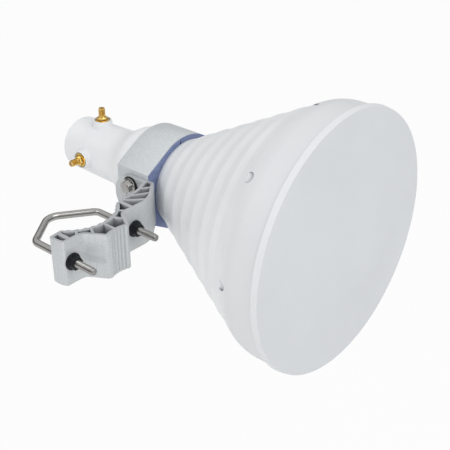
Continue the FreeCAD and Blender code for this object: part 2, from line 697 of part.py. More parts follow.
def round_edges(body, name, places, radius):
    doc.recompute()
    base = body.Tip
    spots = [(size(x), size(y)) for x, y in places]
    fillet = body.newObject("PartDesign::Fillet", name)
    fillet.Base = (base, vertical_edges(base.Shape, spots))
    fillet.Radius = size(radius)
    bind(fillet, "Radius", radius)
    body.Tip = fillet
    doc.recompute()
    return fillet


def make_bracket():
    body = new_body("bracket")
    ear_in = "horn_x - collar_flat"
    ear_out = "horn_x - collar_flat - ear_t"
    sketch = new_sketch(body, "bracket_outline", "XY_Plane")
    outline(sketch, [
        ("-nose_half", at("-nose_reach"), "front_jaw_r", -1),
        ("nose_half", at("-nose_reach")),
        ("nose_foot", at("0")),
        ("shoulder_u", at("0")),
        (ear_in, at("ear_front_v")),
        (ear_in, at("ear_root_v")),
        (ear_out, at("ear_root_v")),
        ("arm_back_u", at("arm_back_v")),
        ("rear_jaw_half", at("rear_jaw_edge"), "rear_jaw_r", -1),
        ("-rear_jaw_half", at("rear_jaw_edge")),
        ("-end_rear_u", at("rear_jaw_edge - end_drop"), "end_bulge_r", 1),
        ("-end_u", at("0")),
        ("-nose_foot", at("0")),
    ])
    sweep(body, "Pad", sketch, "solid_section", "bracket_h", both=True)
    round_edges(body, "foot_rounding", [("nose_foot", at("0")), ("-nose_foot", at("0"))], "foot_r")
    round_edges(body, "arm_front_rounding", [("shoulder_u", at("0"))], "arm_front_r")
    round_edges(body, "arm_back_rounding", [("arm_back_u", at("arm_back_v"))], "arm_back_r")

    # The section is hollowed to an even wall; both ends stay open.
    base = body.Tip
    half_height = size("bracket_h") / 2
    ends = [f"Face{i}" for i, face in enumerate(base.Shape.Faces, start=1)
            if abs(abs(face.CenterOfMass.z) - half_height) < 1e-3]
    hollow = body.newObject("PartDesign::Thickness", "hollow")
    hollow.Base = (base, ends)
    bind(hollow, "Value", "skin_t")
    hollow.Reversed = True
    hollow.Join = "Intersection"
    body.Tip = hollow
    doc.recompute()
    round_edges(body, "tip_rounding", [("nose_half", at("-nose_reach")), ("-nose_half", at("-nose_reach"))], "tip_r")
    round_edges(body, "end_rounding", [("-end_u", at("0")), ("-end_rear_u", at("rear_jaw_edge - end_drop"))], "end_r")

    webs = new_sketch(body, "web_outlines", "XY_Plane")
    for name in ("ear_web", "arm_web", "root_web"):
        web(webs, (f"{name}_back_u", f"{name}_back_v"), (f"{name}_front_u", f"{name}_front_v"), "web_t")
    for side in ("", "-"):
        rod_u = f"{side}rod_half"
        web(webs, (rod_u, "skin_t/2"), (rod_u, "rear_jaw_edge - skin_t/2"), "rod_web_t")
        for name in ("foot_web", "nose_web"):
            back = (f"{side}{name}_back_u", f"{name}_back_v")
            front = (f"{side}{name}_front_u", f"{name}_front_v")
            web(webs, back, front, "web_t")
    nose_wall = "front_jaw_r - jaw_front_v - nose_reach + skin_t/2"
    jaw_wall = "rear_jaw_edge - rear_jaw_r + jaw_rear_v - skin_t/2"
    web(webs, ("0", nose_wall), ("0", jaw_wall), "web_t")
    sweep(body, "Pad", webs, "webs", "bracket_h", both=True)
    doc.recompute()

    # Serrations: small teeth on the front jaw, larger ones on the jaw that meets the mast.
    front_c = at("-nose_reach - jaw_front_v")
    front = new_sketch(body, "front_teeth_outlines", "XY_Plane")
    teeth(front, front_c, "front_jaw_r", "front_tooth", "nose_half", "+")
    sweep(body, "Pad", front, "front_teeth", "bracket_h", both=True)
    rear_c = at("rear_jaw_edge + jaw_rear_v")
    rear = new_sketch(body, "rear_teeth_outlines", "XY_Plane")
    teeth(rear, rear_c, "rear_jaw_r", "rear_tooth", "rear_jaw_half", "-")
    sweep(body, "Pad", rear, "rear_teeth", "bracket_h", both=True)
    doc.recompute()

    # Ear: a flat strip whose rear end is a half circle round the pivot.
    ear = new_sketch(body, "ear_outline", "YZ_Plane", ear_out)
    pivot = "mouth_y + pivot_y"
    outline(ear, [
        (at("ear_root_v - ear_lap"), "-bracket_h/2"),
        (pivot, "-bracket_h/2", "bracket_h/2 + 0.00001", 1),
        (pivot, "bracket_h/2"),
        (at("ear_root_v - ear_lap"), "bracket_h/2"),
    ])
    sweep(body, "Pad", ear, "ear", "ear_t")
    doc.recompute()
    holes = new_sketch(body, "pivot_hole_circle", "YZ_Plane", ear_in)
    circle(holes, pivot, "0", "spigot_r + running_gap")
    sweep(body, "Pocket", holes, "pivot_hole", "ear_t", reverse=False)
    slots = new_sketch(body, "slot_outlines", "YZ_Plane", ear_in)
    for side in (1, -1):
        slot(slots, pivot, side)
    sweep(body, "Pocket", slots, "tilt_slots", "ear_t", reverse=False)
    doc.recompute()

    rods = new_sketch(body, "rod_hole_circles", "XZ_Plane", "nose_reach - seat_v")
    for sign in ("", "-"):
        circle(rods, f"{sign}rod_half", "0", "rod_r + running_gap")
    sweep(body, "Pocket", rods, "rod_holes", "nose_reach + rear_jaw_edge + rod_half", reverse=False)
    doc.recompute()
    return body


def slot(sketch, pivot, side):
    """A slot curved round the pivot, above it or below it."""
    outer = "(tilt_bolt_pitch_r + tilt_slot_half)"
    inner = "(tilt_bolt_pitch_r - tilt_slot_half)"

    def point(radius, sign):
        angle = f"(90 deg {sign} tilt_slot_angle/2*1 deg)"
        return (f"{pivot} + {radius}*cos({angle})", f"{side}*{radius}*sin({angle})")

    turn = side
    outline(sketch, [
        point(outer, "-") + (outer, turn),
        point(outer, "+") + ("tilt_slot_half + 0.00001", turn),
        point(inner, "+") + (inner, -turn),
        point(inner, "-") + ("tilt_slot_half + 0.00001", turn),
    ])


# V-bolt: one round rod bent to a V behind the mast, threaded at both tips.
def make_v_bolt():
    body = new_body("v_bolt")
    path = new_sketch(body, "rod_path", "XY_Plane")
    lean = "atan((v_apex - v_corner)/rod_half)"
    tail = f"v_bend_r*tan((90 deg - {lean})/2)"
    points = [
        ("rod_half", "rod_tip"),
        ("rod_half", f"v_corner - {tail}", "v_bend_r", 1),
        (f"rod_half - {tail}*cos({lean})", f"v_corner + {tail}*sin({lean})"),
    ]
    half_crest = f"v_apex_r*sin({lean})"
    apex_low = f"v_apex - {half_crest}*tan({lean})"
    points += [
        (half_crest, apex_low, "v_apex_r", 1),
        (f"-{half_crest}", apex_low),
        (f"-(rod_half - {tail}*cos({lean}))", f"v_corner + {tail}*sin({lean})", "v_bend_r", 1),
        ("-rod_half", f"v_corner - {tail}"),
        ("-rod_half", "rod_tip"),
    ]
    open_outline(path, points)
    ring = new_sketch(body, "rod_section", "XZ_Plane", "-rod_tip")
    circle(ring, "rod_half", "0", "rod_r")
    doc.recompute()
    rod = body.newObject("PartDesign::AdditivePipe", "bent_rod")
    rod.Profile = ring
    rod.Spine = (path, [f"Edge{i + 1}" for i in range(len(points) - 1)])
    body.Tip = rod
    doc.recompute()
    return body


def open_outline(sketch, steps):
    """Like outline, but left open between the last corner and the first."""
    for i in range(len(steps) - 1):
        step, following = steps[i], steps[i + 1]
        start = V(size(step[0]), size(step[1]), 0)
        end = V(size(following[0]), size(following[1]), 0)
        if len(step) == 2:
            item = sketch.addGeometry(Part.LineSegment(start, end), False)
        else:
            radius = size(step[2])
            chord = end - start
            depth = radius - math.sqrt(radius ** 2 - (chord.Length / 2) ** 2)
            side = V(chord.y, -chord.x, 0).normalize()
            middle = (start + end) * 0.5 + side * depth * step[3]
            item = sketch.addGeometry(Part.Arc(start, middle, end), False)
            index = sketch.addConstraint(Sketcher.Constraint("Radius", item, radius))
            sketch.setExpression(f"Constraints[{index}]", linked(step[2]))
        begin = 1 if (sketch.getPoint(item, 1) - start).Length < 1e-6 else 2
        if i > 0:
            previous_end = 1 if (sketch.getPoint(item - 1, 1) - start).Length < 1e-6 else 2
            sketch.addConstraint(Sketcher.Constraint("Coincident", item - 1, previous_end, item, begin))
        pin(sketch, item, begin, step[0], step[1])
        if i == len(steps) - 2:
            pin(sketch, item, 3 - begin, following[0], following[1])


# Flange nuts on the front seat.
def make_clamp_nuts():
    body = new_body("clamp_nut")
    hex_with_flange(body, "nut", "nut_af", "nut_h", "nut_flange_r")
    bore = new_sketch(body, "nut_bore_circle", "XY_Plane")
    circle(bore, "0", "0", "rod_r + fit_gap")
    sweep(body, "Pocket", bore, "nut_bore", "nut_h + fit_gap", reverse=True)
    doc.recompute()
    body.Placement = FreeCAD.Placement(V(), FreeCAD.Rotation(V(1, 0, 0), 90))
    bind(body, "Placement.Base.x", "rod_half")
    bind(body, "Placement.Base.y", "seat_v")
    return mirrored_pair(body, "clamp_nuts", V(1, 0, 0))


# Coaxial connectors: the same five pieces for the top port and the side port.
def turned(label, profile):
    body = new_body(label)
    sketch = new_sketch(body, f"{label}_profile", "XZ_Plane")
    outline(sketch, profile)
    spin(body, "Revolution", sketch, f"{label}_turned")
    doc.recompute()
    return body


def place_on_port(body, angle):
    body.Placement = FreeCAD.Placement(V(), FreeCAD.Rotation(V(0, 1, 0), angle))
    bind(body, "Placement.Base.x", "horn_x")
    bind(body, "Placement.Base.y", "mouth_y + port_y")


def make_connector(port, angle):
    inner = "tube_inner"
    shell_bore = "dielectric_r + fit_gap/2"
    shell = turned(f"{port}_connector", [
        (shell_bore, inner),
        ("stud_r", inner),
        ("stud_r", "seat_z + seal_t"),
        ("flange_r - flange_step", "seat_z + seal_t"),
        ("flange_r - flange_step", "seat_z"),
        ("flange_r", "seat_z"),
        ("flange_r", "flange_top"),
        ("relief_r", "flange_top"),
        ("relief_r", "thread_start"),
        ("thread_r", "thread_start + thread_edge"),
        ("thread_r", "thread_top - thread_edge"),
        ("thread_r - thread_edge", "thread_top"),
        ("socket_r", "thread_top"),
        ("socket_r", "socket_floor"),
        (shell_bore, "socket_floor"),
    ])
    hexa = new_sketch(shell, f"{port}_hexagon", "XY_Plane", "flange_top")
    hexagon(hexa, "hex_af")
    circle(hexa, "0", "0", "relief_r - fit_gap")
    sweep(shell, "Pad", hexa, f"{port}_hex", "hex_h")
    doc.recompute()
    insulator = turned(f"{port}_insulator", [
        ("contact_r + fit_gap/2", inner),
        ("dielectric_r", inner),
        ("dielectric_r", "socket_floor"),
        ("contact_r + fit_gap/2", "socket_floor"),
    ])
    contact = turned(f"{port}_contact", [
        ("0", "probe_root"),
        ("contact_r", "probe_root"),
        ("contact_r", "socket_floor"),
        ("contact_bore_r", "socket_floor"),
        ("contact_bore_r", "socket_floor - contact_bore_depth"),
        ("0", "socket_floor - contact_bore_depth"),
    ])
    probe = turned(f"{port}_probe", [
        ("0", "probe_reach"),
        ("probe_r - probe_edge", "probe_reach"),
        ("probe_r", "probe_reach + probe_edge"),
        ("probe_r", "probe_root"),
        ("0", "probe_root"),
    ])
    seal = new_body(f"{port}_seal")
    ring = new_sketch(seal, f"{port}_seal_circles", "XY_Plane", "seat_z")
    circle(ring, "0", "0", "seal_out_r")
    circle(ring, "0", "0", "seal_in_r")
    sweep(seal, "Pad", ring, f"{port}_seal_disc", "seal_t")
    doc.recompute()
    pieces = [shell, insulator, contact, probe, seal]
    for piece in pieces:
        place_on_port(piece, angle)
    return pieces


nodes = [
    make_radome_cap(),
    make_radome_gasket(),
    make_horn_body(),
    make_liner_ring(),
    make_collar(),
    make_tilt_bolts(),
    make_tilt_washers(),
    make_bracket(),
    make_v_bolt(),
    make_clamp_nuts(),
]
nodes += make_connector("top", 0)
nodes += make_connector("side", -90)
doc.recompute()

for thing in doc.Objects:
    if "Invalid" in thing.State or "Error" in thing.State:
        raise RuntimeError(f"{thing.Label} failed: {thing.State}")

os.makedirs("parts", exist_ok=True)
for node in nodes:
    shape = node.Shape
    if shape.isNull() or not shape.isValid():
        raise RuntimeError(f"{node.Label} has no sound shape")
    box = shape.BoundBox
    print(f"{node.Label:18s} {len(shape.Solids)} solid {shape.Volume / 1000:8.2f} cm3  "
          f"x {box.XMin:7.1f} {box.XMax:7.1f}  y {box.YMin:7.1f} {box.YMax:7.1f}  "
          f"z {box.ZMin:7.1f} {box.ZMax:7.1f}")
    shape.exportStep(f"parts/{node.Label}.step")
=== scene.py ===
import json
import math
import bpy
import bmesh
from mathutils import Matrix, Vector


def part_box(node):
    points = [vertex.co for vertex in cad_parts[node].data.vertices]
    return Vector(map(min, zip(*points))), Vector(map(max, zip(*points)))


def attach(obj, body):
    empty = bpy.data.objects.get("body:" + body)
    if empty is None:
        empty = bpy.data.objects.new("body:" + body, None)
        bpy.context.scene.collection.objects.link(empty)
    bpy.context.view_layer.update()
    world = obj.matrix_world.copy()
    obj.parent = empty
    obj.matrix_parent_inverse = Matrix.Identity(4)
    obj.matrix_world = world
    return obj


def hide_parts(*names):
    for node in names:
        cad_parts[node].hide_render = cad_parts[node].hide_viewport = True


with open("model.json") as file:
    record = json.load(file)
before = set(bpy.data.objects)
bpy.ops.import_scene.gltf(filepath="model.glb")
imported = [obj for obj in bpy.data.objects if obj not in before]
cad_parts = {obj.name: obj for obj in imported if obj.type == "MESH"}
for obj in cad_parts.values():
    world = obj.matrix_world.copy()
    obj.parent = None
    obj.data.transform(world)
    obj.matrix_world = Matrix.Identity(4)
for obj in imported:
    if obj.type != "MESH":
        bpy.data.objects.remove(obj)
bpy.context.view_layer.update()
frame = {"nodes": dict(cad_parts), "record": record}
nodes = frame["nodes"]
mm = 0.001
hornX = 0.1242      # the horn's axis beside the mast, as the frame has it
noiseLow, noiseHigh = 0.3, 0.7      # nearly all of a noise texture lies between these
waveAtOne = 0.314       # how long one band of a wave texture is at scale 1
hollowSamples = 8       # rays that look for a hollow
smoothDeg = 32      # faces that meet at less than this are shaded as one
flatDeg = 0.5       # facets that meet at less than this are one flat face
weldMm = 0.005      # corners of the frame's facets that lie closer are one
joinMm = 0.001      # points of a swept shape that lie closer are one
near = 0.01 * mm    # heights and radii that differ by less count as equal
facesUp = 0.9       # a face whose normal's Z is above this looks up


# materials

def linearColour(hexText):
    # a colour as picked on screen, turned by the sRGB curve into the linear values that the shader wants
    values = []
    for start in (0, 2, 4):
        channel = int(hexText[start:start + 2], 16) / 255
        values.append(channel / 12.92 if channel <= 0.04045 else ((channel + 0.055) / 1.055) ** 2.4)
    return (values[0], values[1], values[2], 1)


def addNode(tree, kind, place, settings=None, links=None):
    # a setting goes to the input of that name or number, or else to the node itself;
    # "stops" are the places and colours of a ramp
    node = tree.nodes.new(kind)
    node.location = place
    for key, value in (settings or {}).items():
        if key == "stops":
            for stop, (position, hexText) in zip(node.color_ramp.elements, value):
                stop.position = position
                stop.color = linearColour(hexText)
        elif isinstance(key, int) or key in node.inputs:
            node.inputs[key].default_value = value
        else:
            setattr(node, key, value)
    for key, source in (links or {}).items():
        tree.links.new(source, node.inputs[key])
    return node


def startMaterial(name, settings):
    # a new material and its Object coordinates counted in millimetres
    material = bpy.data.materials.new(name)
    material.use_nodes = True
    tree = material.node_tree
    shader = tree.nodes["Principled BSDF"]
    for key, value in settings.items():
        shader.inputs[key].default_value = value
    coords = addNode(tree, "ShaderNodeTexCoord", (-1500, 0))
    inMm = addNode(tree, "ShaderNodeMapping", (-1300, 0), {"Scale": (1 / mm, 1 / mm, 1 / mm)},
                   {"Vector": coords.outputs["Object"]})
    return material, tree, shader, inMm.outputs["Vector"]


def makePowderCoat():
    # cast aluminium under white polyester powder coat: satin, faint orange peel, tone drifts slowly
    look = {"light": "e1e3e4", "dark": "dcdee0", "skirt": "d1d3d5", "skirtFrontMm": -146,
            "skirtRearMm": -134, "pocketShade": "8f9296", "pocketShadeMm": 7, "valley": "b4b8bc", "valleyMm": 14,
            "coneRearMm": 0, "tubeMm": 20, "peelMm": 1.6, "driftMm": 40, "glossy": 0.44, "dull": 0.56,
            "relief": 0.2, "reliefMm": 0.03, "low": 0.35, "high": 0.65, "valleyDeep": 0.72,
            "valleyOpen": 0.96, "pocketShadeDeep": 0.3, "pocketShadeOpen": 0.85, "pocketShadeShare": 0.8, "specular": 0.35}
    material, tree, shader, inMm = startMaterial("white powder coat on casting", {
        "Specular IOR Level": look["specular"]})
    drift = addNode(tree, "ShaderNodeTexNoise", (-1000, 300), {"Scale": 1 / look["driftMm"], "Detail": 3},
                    {"Vector": inMm})
    tone = addNode(tree, "ShaderNodeValToRGB", (-700, 300),
                   {"stops": ((look["low"], look["dark"]), (look["high"], look["light"]))},
                   {"Fac": drift.outputs["Fac"]})
    # painted shade: the skirt is painted a shade greyer than the cone, standing in for the lesser light
    # that falls on it
    along = addNode(tree, "ShaderNodeSeparateXYZ", (-1000, 600), None, {"Vector": inMm})
    onShadedSkirt = addNode(tree, "ShaderNodeMapRange", (-700, 600),
                      {"From Min": look["skirtFrontMm"], "From Max": look["skirtRearMm"],
                       "To Min": 1, "To Max": 0},
                      {"Value": along.outputs["Y"]})
    coat = addNode(tree, "ShaderNodeMix", (-400, 400),
                   {"data_type": "RGBA", 7: linearColour(look["skirt"])},
                   {0: onShadedSkirt.outputs["Result"], 6: tone.outputs["Color"]})
    # painted shade: pockets and the feet of the bosses are painted darker grey, where shade falls in them
    hollow = addNode(tree, "ShaderNodeAmbientOcclusion", (-700, 900),
                     {"Distance": look["pocketShadeMm"] * mm, "only_local": True, "samples": hollowSamples})
    pocketShade = addNode(tree, "ShaderNodeMapRange", (-400, 900),
                   {"From Min": look["pocketShadeDeep"], "From Max": look["pocketShadeOpen"],
                    "To Min": look["pocketShadeShare"], "To Max": 0},
                   {"Value": hollow.outputs["AO"]})
    # painted shade: the valleys between the cone's rings are painted a shade greyer, where shade falls in
    # them; this fades out towards the tube
    valley = addNode(tree, "ShaderNodeAmbientOcclusion", (-1000, 1200),
                     {"Distance": look["valleyMm"] * mm, "only_local": True, "samples": hollowSamples})
    onCone = addNode(tree, "ShaderNodeMapRange", (-700, 1400),
                     {"From Min": look["coneRearMm"], "From Max": look["tubeMm"],
                      "To Min": 1, "To Max": 0},
                     {"Value": along.outputs["Y"]})
    valleyShadeShare = addNode(tree, "ShaderNodeMapRange", (-400, 1200),
                   {"From Min": look["valleyDeep"], "From Max": look["valleyOpen"], "To Max": 0},
                   {"Value": valley.outputs["AO"], "To Min": onCone.outputs["Result"]})
    valleyShaded = addNode(tree, "ShaderNodeMix", (-250, 700),
                     {"data_type": "RGBA", 7: linearColour(look["valley"])},
                     {0: valleyShadeShare.outputs["Result"], 6: coat.outputs[2]})
    pocketShaded = addNode(tree, "ShaderNodeMix", (-150, 500),
                    {"data_type": "RGBA", 7: linearColour(look["pocketShade"])},
                    {0: pocketShade.outputs["Result"], 6: valleyShaded.outputs[2]})
    tree.links.new(pocketShaded.outputs[2], shader.inputs["Base Color"])
    peel = addNode(tree, "ShaderNodeTexNoise", (-1000, -100), {"Scale": 1 / look["peelMm"], "Detail": 3},
                   {"Vector": inMm})
    gloss = addNode(tree, "ShaderNodeMapRange", (-700, 0),
                    {"From Min": noiseLow, "From Max": noiseHigh,
                     "To Min": look["glossy"], "To Max": look["dull"]},
                    {"Value": peel.outputs["Fac"]})
    tree.links.new(gloss.outputs["Result"], shader.inputs["Roughness"])
    relief = addNode(tree, "ShaderNodeBump", (-300, -200),
                     {"Strength": look["relief"], "Distance": look["reliefMm"] * mm},
                     {"Height": peel.outputs["Fac"]})
    tree.links.new(relief.outputs["Normal"], shader.inputs["Normal"])
    return material


def makeCapPlastic():
    # moulded ABS, spark-eroded tool: cooler and a little darker than the paint, even fine texture
    look = {"light": "d2d5d8", "dark": "ced1d4", "rim": "d6d8da", "textureMm": 0.7, "driftMm": 70,
            "glossy": 0.46, "dull": 0.56, "relief": 0.12, "reliefMm": 0.02, "low": 0.3, "high": 0.7,
            "faceY": -0.97, "sideY": -0.6, "specular": 0.35}
    material, tree, shader, inMm = startMaterial("white moulded ABS", {
        "Specular IOR Level": look["specular"]})
    drift = addNode(tree, "ShaderNodeTexNoise", (-1000, 300), {"Scale": 1 / look["driftMm"], "Detail": 2},
                    {"Vector": inMm})
    tone = addNode(tree, "ShaderNodeValToRGB", (-700, 300),
                   {"stops": ((look["low"], look["dark"]), (look["high"], look["light"]))},
                   {"Fac": drift.outputs["Fac"]})
    # painted highlight: the cap's side is painted paler than its face, as where its rounded edge catches
    # the light: found by the Y of its normal
    where = addNode(tree, "ShaderNodeNewGeometry", (-1000, 600))
    facing = addNode(tree, "ShaderNodeSeparateXYZ", (-800, 600), None, {"Vector": where.outputs["Normal"]})
    rim = addNode(tree, "ShaderNodeMapRange", (-600, 600),
                  {"From Min": look["faceY"], "From Max": look["sideY"]}, {"Value": facing.outputs["Y"]})
    pale = addNode(tree, "ShaderNodeMix", (-400, 400), {"data_type": "RGBA", 7: linearColour(look["rim"])},
                   {0: rim.outputs["Result"], 6: tone.outputs["Color"]})
    tree.links.new(pale.outputs[2], shader.inputs["Base Color"])
    texture = addNode(tree, "ShaderNodeTexNoise", (-1000, -100),
                      {"Scale": 1 / look["textureMm"], "Detail": 3},
                      {"Vector": inMm})
    gloss = addNode(tree, "ShaderNodeMapRange", (-700, 0),
                    {"From Min": noiseLow, "From Max": noiseHigh,
                     "To Min": look["glossy"], "To Max": look["dull"]},
                    {"Value": texture.outputs["Fac"]})
    tree.links.new(gloss.outputs["Result"], shader.inputs["Roughness"])
    relief = addNode(tree, "ShaderNodeBump", (-300, -200),
                     {"Strength": look["relief"], "Distance": look["reliefMm"] * mm},
                     {"Height": texture.outputs["Fac"]})
    tree.links.new(relief.outputs["Normal"], shader.inputs["Normal"])
    return material


def makeBluePlastic():
    # moulded slate blue nylon: slightly mottled from the mould, satin
    look = {"light": "7480a2", "dark": "667296", "mottleMm": 4, "textureMm": 0.6, "relief": 0.2,
            "reliefMm": 0.03, "low": 0.3, "high": 0.7, "roughness": 0.5, "specular": 0.4}
    material, tree, shader, inMm = startMaterial("moulded slate blue nylon", {
        "Roughness": look["roughness"], "Specular IOR Level": look["specular"]})
    mottle = addNode(tree, "ShaderNodeTexNoise", (-1000, 300),
                     {"Scale": 1 / look["mottleMm"], "Detail": 4},
                     {"Vector": inMm})
    tone = addNode(tree, "ShaderNodeValToRGB", (-700, 300),
                   {"stops": ((look["low"], look["dark"]), (look["high"], look["light"]))},
                   {"Fac": mottle.outputs["Fac"]})
    tree.links.new(tone.outputs["Color"], shader.inputs["Base Color"])
    texture = addNode(tree, "ShaderNodeTexNoise", (-1000, -100),
                      {"Scale": 1 / look["textureMm"], "Detail": 2},
                      {"Vector": inMm})
    relief = addNode(tree, "ShaderNodeBump", (-300, -200),
                     {"Strength": look["relief"], "Distance": look["reliefMm"] * mm},
                     {"Height": texture.outputs["Fac"]})
    tree.links.new(relief.outputs["Normal"], shader.inputs["Normal"])
    return material


def makeBlastedAluminium():
    # cast collar, bead-blasted and clear anodised: dense sandy grain, no clear reflection
    # real grit marks are near 0.2 mm; they are drawn two and a half times coarser so that they show
    look = {"light": "d8dcde", "dark": "babec1", "gritMm": 0.5, "blotchMm": 2.4, "metal": 0.6,
            "glossy": 0.54, "dull": 0.7, "relief": 0.25, "reliefMm": 0.04, "low": 0.38, "high": 0.62,
            "blotchShare": 0.15}
    material, tree, shader, inMm = startMaterial("bead-blasted aluminium", {"Metallic": look["metal"]})
    grit = addNode(tree, "ShaderNodeTexNoise", (-1000, -100),
                   {"Scale": 1 / look["gritMm"], "Detail": 3, "Roughness": 0.6},
                   {"Vector": inMm})
    blotch = addNode(tree, "ShaderNodeTexNoise", (-1000, 300),
                     {"Scale": 1 / look["blotchMm"], "Detail": 4, "Roughness": 0.6},
                     {"Vector": inMm})
    both = addNode(tree, "ShaderNodeMix", (-800, 200), {"data_type": "FLOAT", 0: look["blotchShare"]},
                   {2: grit.outputs["Fac"], 3: blotch.outputs["Fac"]})
    tone = addNode(tree, "ShaderNodeValToRGB", (-600, 300),
                   {"stops": ((look["low"], look["dark"]), (look["high"], look["light"]))},
                   {"Fac": both.outputs[0]})
    tree.links.new(tone.outputs["Color"], shader.inputs["Base Color"])
    gloss = addNode(tree, "ShaderNodeMapRange", (-600, 0),
                    {"From Min": noiseLow, "From Max": noiseHigh,
                     "To Min": look["glossy"], "To Max": look["dull"]},
                    {"Value": grit.outputs["Fac"]})
    tree.links.new(gloss.outputs["Result"], shader.inputs["Roughness"])
    relief = addNode(tree, "ShaderNodeBump", (-300, -200),
                     {"Strength": look["relief"], "Distance": look["reliefMm"] * mm},
                     {"Height": grit.outputs["Fac"]})
    tree.links.new(relief.outputs["Normal"], shader.inputs["Normal"])
    return material


def makeExtrudedAluminium():
    # extruded section, blasted and clear anodised; the sawn ends are duller with arcs from the blade
    # the grit is drawn three times coarser than the real 0.2 mm so that it shows
    look = {"light": "d3d6d7", "dark": "b4b8ba", "endLight": "bcbec1", "endDark": "a7aaae",
            "cell": "6f7376", "cellShadeMm": 16, "rootMm": 2.2, "gritMm": 0.6, "dieMm": 1.3, "bladeMm": 0.9,
            "metal": 0.42, "glossy": 0.44, "dull": 0.6, "relief": 0.3, "reliefMm": 0.04, "low": 0.38,
            "high": 0.62, "dieStretch": 0.02, "dieShare": 0.08, "bladeX": -40, "bladeY": -260,
            "slopeZ": 0.8, "endZ": 0.95, "cellDeep": 0.15, "cellOpen": 0.6, "rootDeep": 0.55,
            "rootOpen": 0.95, "rootShare": 0.8}
    material, tree, shader, inMm = startMaterial("anodised aluminium extrusion", {
        "Metallic": look["metal"]})
    grit = addNode(tree, "ShaderNodeTexNoise", (-1000, -100),
                   {"Scale": 1 / look["gritMm"], "Detail": 4, "Roughness": 0.65},
                   {"Vector": inMm})
    # die lines run the length of the section, so the noise is stretched along Z
    along = addNode(tree, "ShaderNodeMapping", (-1200, 500), {"Scale": (1, 1, look["dieStretch"])},
                    {"Vector": inMm})
    dieLines = addNode(tree, "ShaderNodeTexNoise", (-1000, 500), {"Scale": 1 / look["dieMm"], "Detail": 2},
                       {"Vector": along.outputs["Vector"]})
    both = addNode(tree, "ShaderNodeMix", (-800, 300), {"data_type": "FLOAT", 0: look["dieShare"]},
                   {2: grit.outputs["Fac"], 3: dieLines.outputs["Fac"]})
    side = addNode(tree, "ShaderNodeValToRGB", (-600, 500),
                   {"stops": ((look["low"], look["dark"]), (look["high"], look["light"]))},
                   {"Fac": both.outputs[0]})
    # the blade's arcs: wide rings about a point far behind the bracket
    centred = addNode(tree, "ShaderNodeMapping", (-1200, 900),
                      {"Location": (look["bladeX"], look["bladeY"], 0)},
                      {"Vector": inMm})
    blade = addNode(tree, "ShaderNodeTexWave", (-1000, 900),
                    {"wave_type": "RINGS", "rings_direction": "Z", "Scale": waveAtOne / look["bladeMm"],
                     "Distortion": 1.2, "Detail": 2, "Detail Scale": 0.6},
                    {"Vector": centred.outputs["Vector"]})
    end = addNode(tree, "ShaderNodeValToRGB", (-600, 900),
                  {"stops": ((0, look["endDark"]), (1, look["endLight"]))},
                  {"Fac": blade.outputs["Fac"]})
    where = addNode(tree, "ShaderNodeNewGeometry", (-1000, 1200))
    facing = addNode(tree, "ShaderNodeSeparateXYZ", (-800, 1200),
                     None, {"Vector": where.outputs["Normal"]})
    upright = addNode(tree, "ShaderNodeMath", (-600, 1200),
                      {"operation": "ABSOLUTE"}, {0: facing.outputs["Z"]})
    onEnd = addNode(tree, "ShaderNodeMapRange", (-400, 1200),
                    {"From Min": look["slopeZ"], "From Max": look["endZ"]},
                    {"Value": upright.outputs[0]})
    colour = addNode(tree, "ShaderNodeMix", (-200, 700), {"data_type": "RGBA"},
                     {0: onEnd.outputs["Result"], 6: side.outputs["Color"], 7: end.outputs["Color"]})
    # painted shade: the cells are painted darker inside, deepest where shade falls in them
    reach = addNode(tree, "ShaderNodeAmbientOcclusion", (-400, 1500),
                    {"Distance": look["cellShadeMm"] * mm, "only_local": True, "samples": hollowSamples})
    dull = addNode(tree, "ShaderNodeMapRange", (-200, 1500),
                   {"From Min": look["cellDeep"], "From Max": look["cellOpen"], "To Min": 1, "To Max": 0},
                   {"Value": reach.outputs["AO"]})
    cellShaded = addNode(tree, "ShaderNodeMix", (0, 700), {"data_type": "RGBA", 7: linearColour(look["cell"])},
                   {0: dull.outputs["Result"], 6: colour.outputs[2]})
    # painted shade: the roots of the teeth are painted darker, where shade falls in the creases
    close = addNode(tree, "ShaderNodeAmbientOcclusion", (-400, 1800),
                    {"Distance": look["rootMm"] * mm, "only_local": True, "samples": hollowSamples})
    grime = addNode(tree, "ShaderNodeMapRange", (-200, 1800),
                    {"From Min": look["rootDeep"], "From Max": look["rootOpen"],
                     "To Min": look["rootShare"], "To Max": 0},
                    {"Value": close.outputs["AO"]})
    grimy = addNode(tree, "ShaderNodeMix", (200, 700),
                    {"data_type": "RGBA", 7: linearColour(look["cell"])},
                    {0: grime.outputs["Result"], 6: cellShaded.outputs[2]})
    tree.links.new(grimy.outputs[2], shader.inputs["Base Color"])
    gloss = addNode(tree, "ShaderNodeMapRange", (-600, 0),
                    {"From Min": noiseLow, "From Max": noiseHigh,
                     "To Min": look["glossy"], "To Max": look["dull"]},
                    {"Value": grit.outputs["Fac"]})
    tree.links.new(gloss.outputs["Result"], shader.inputs["Roughness"])
    relief = addNode(tree, "ShaderNodeBump", (-300, -200),
                     {"Strength": look["relief"], "Distance": look["reliefMm"] * mm},
                     {"Height": both.outputs[0]})
    tree.links.new(relief.outputs["Normal"], shader.inputs["Normal"])
    return material


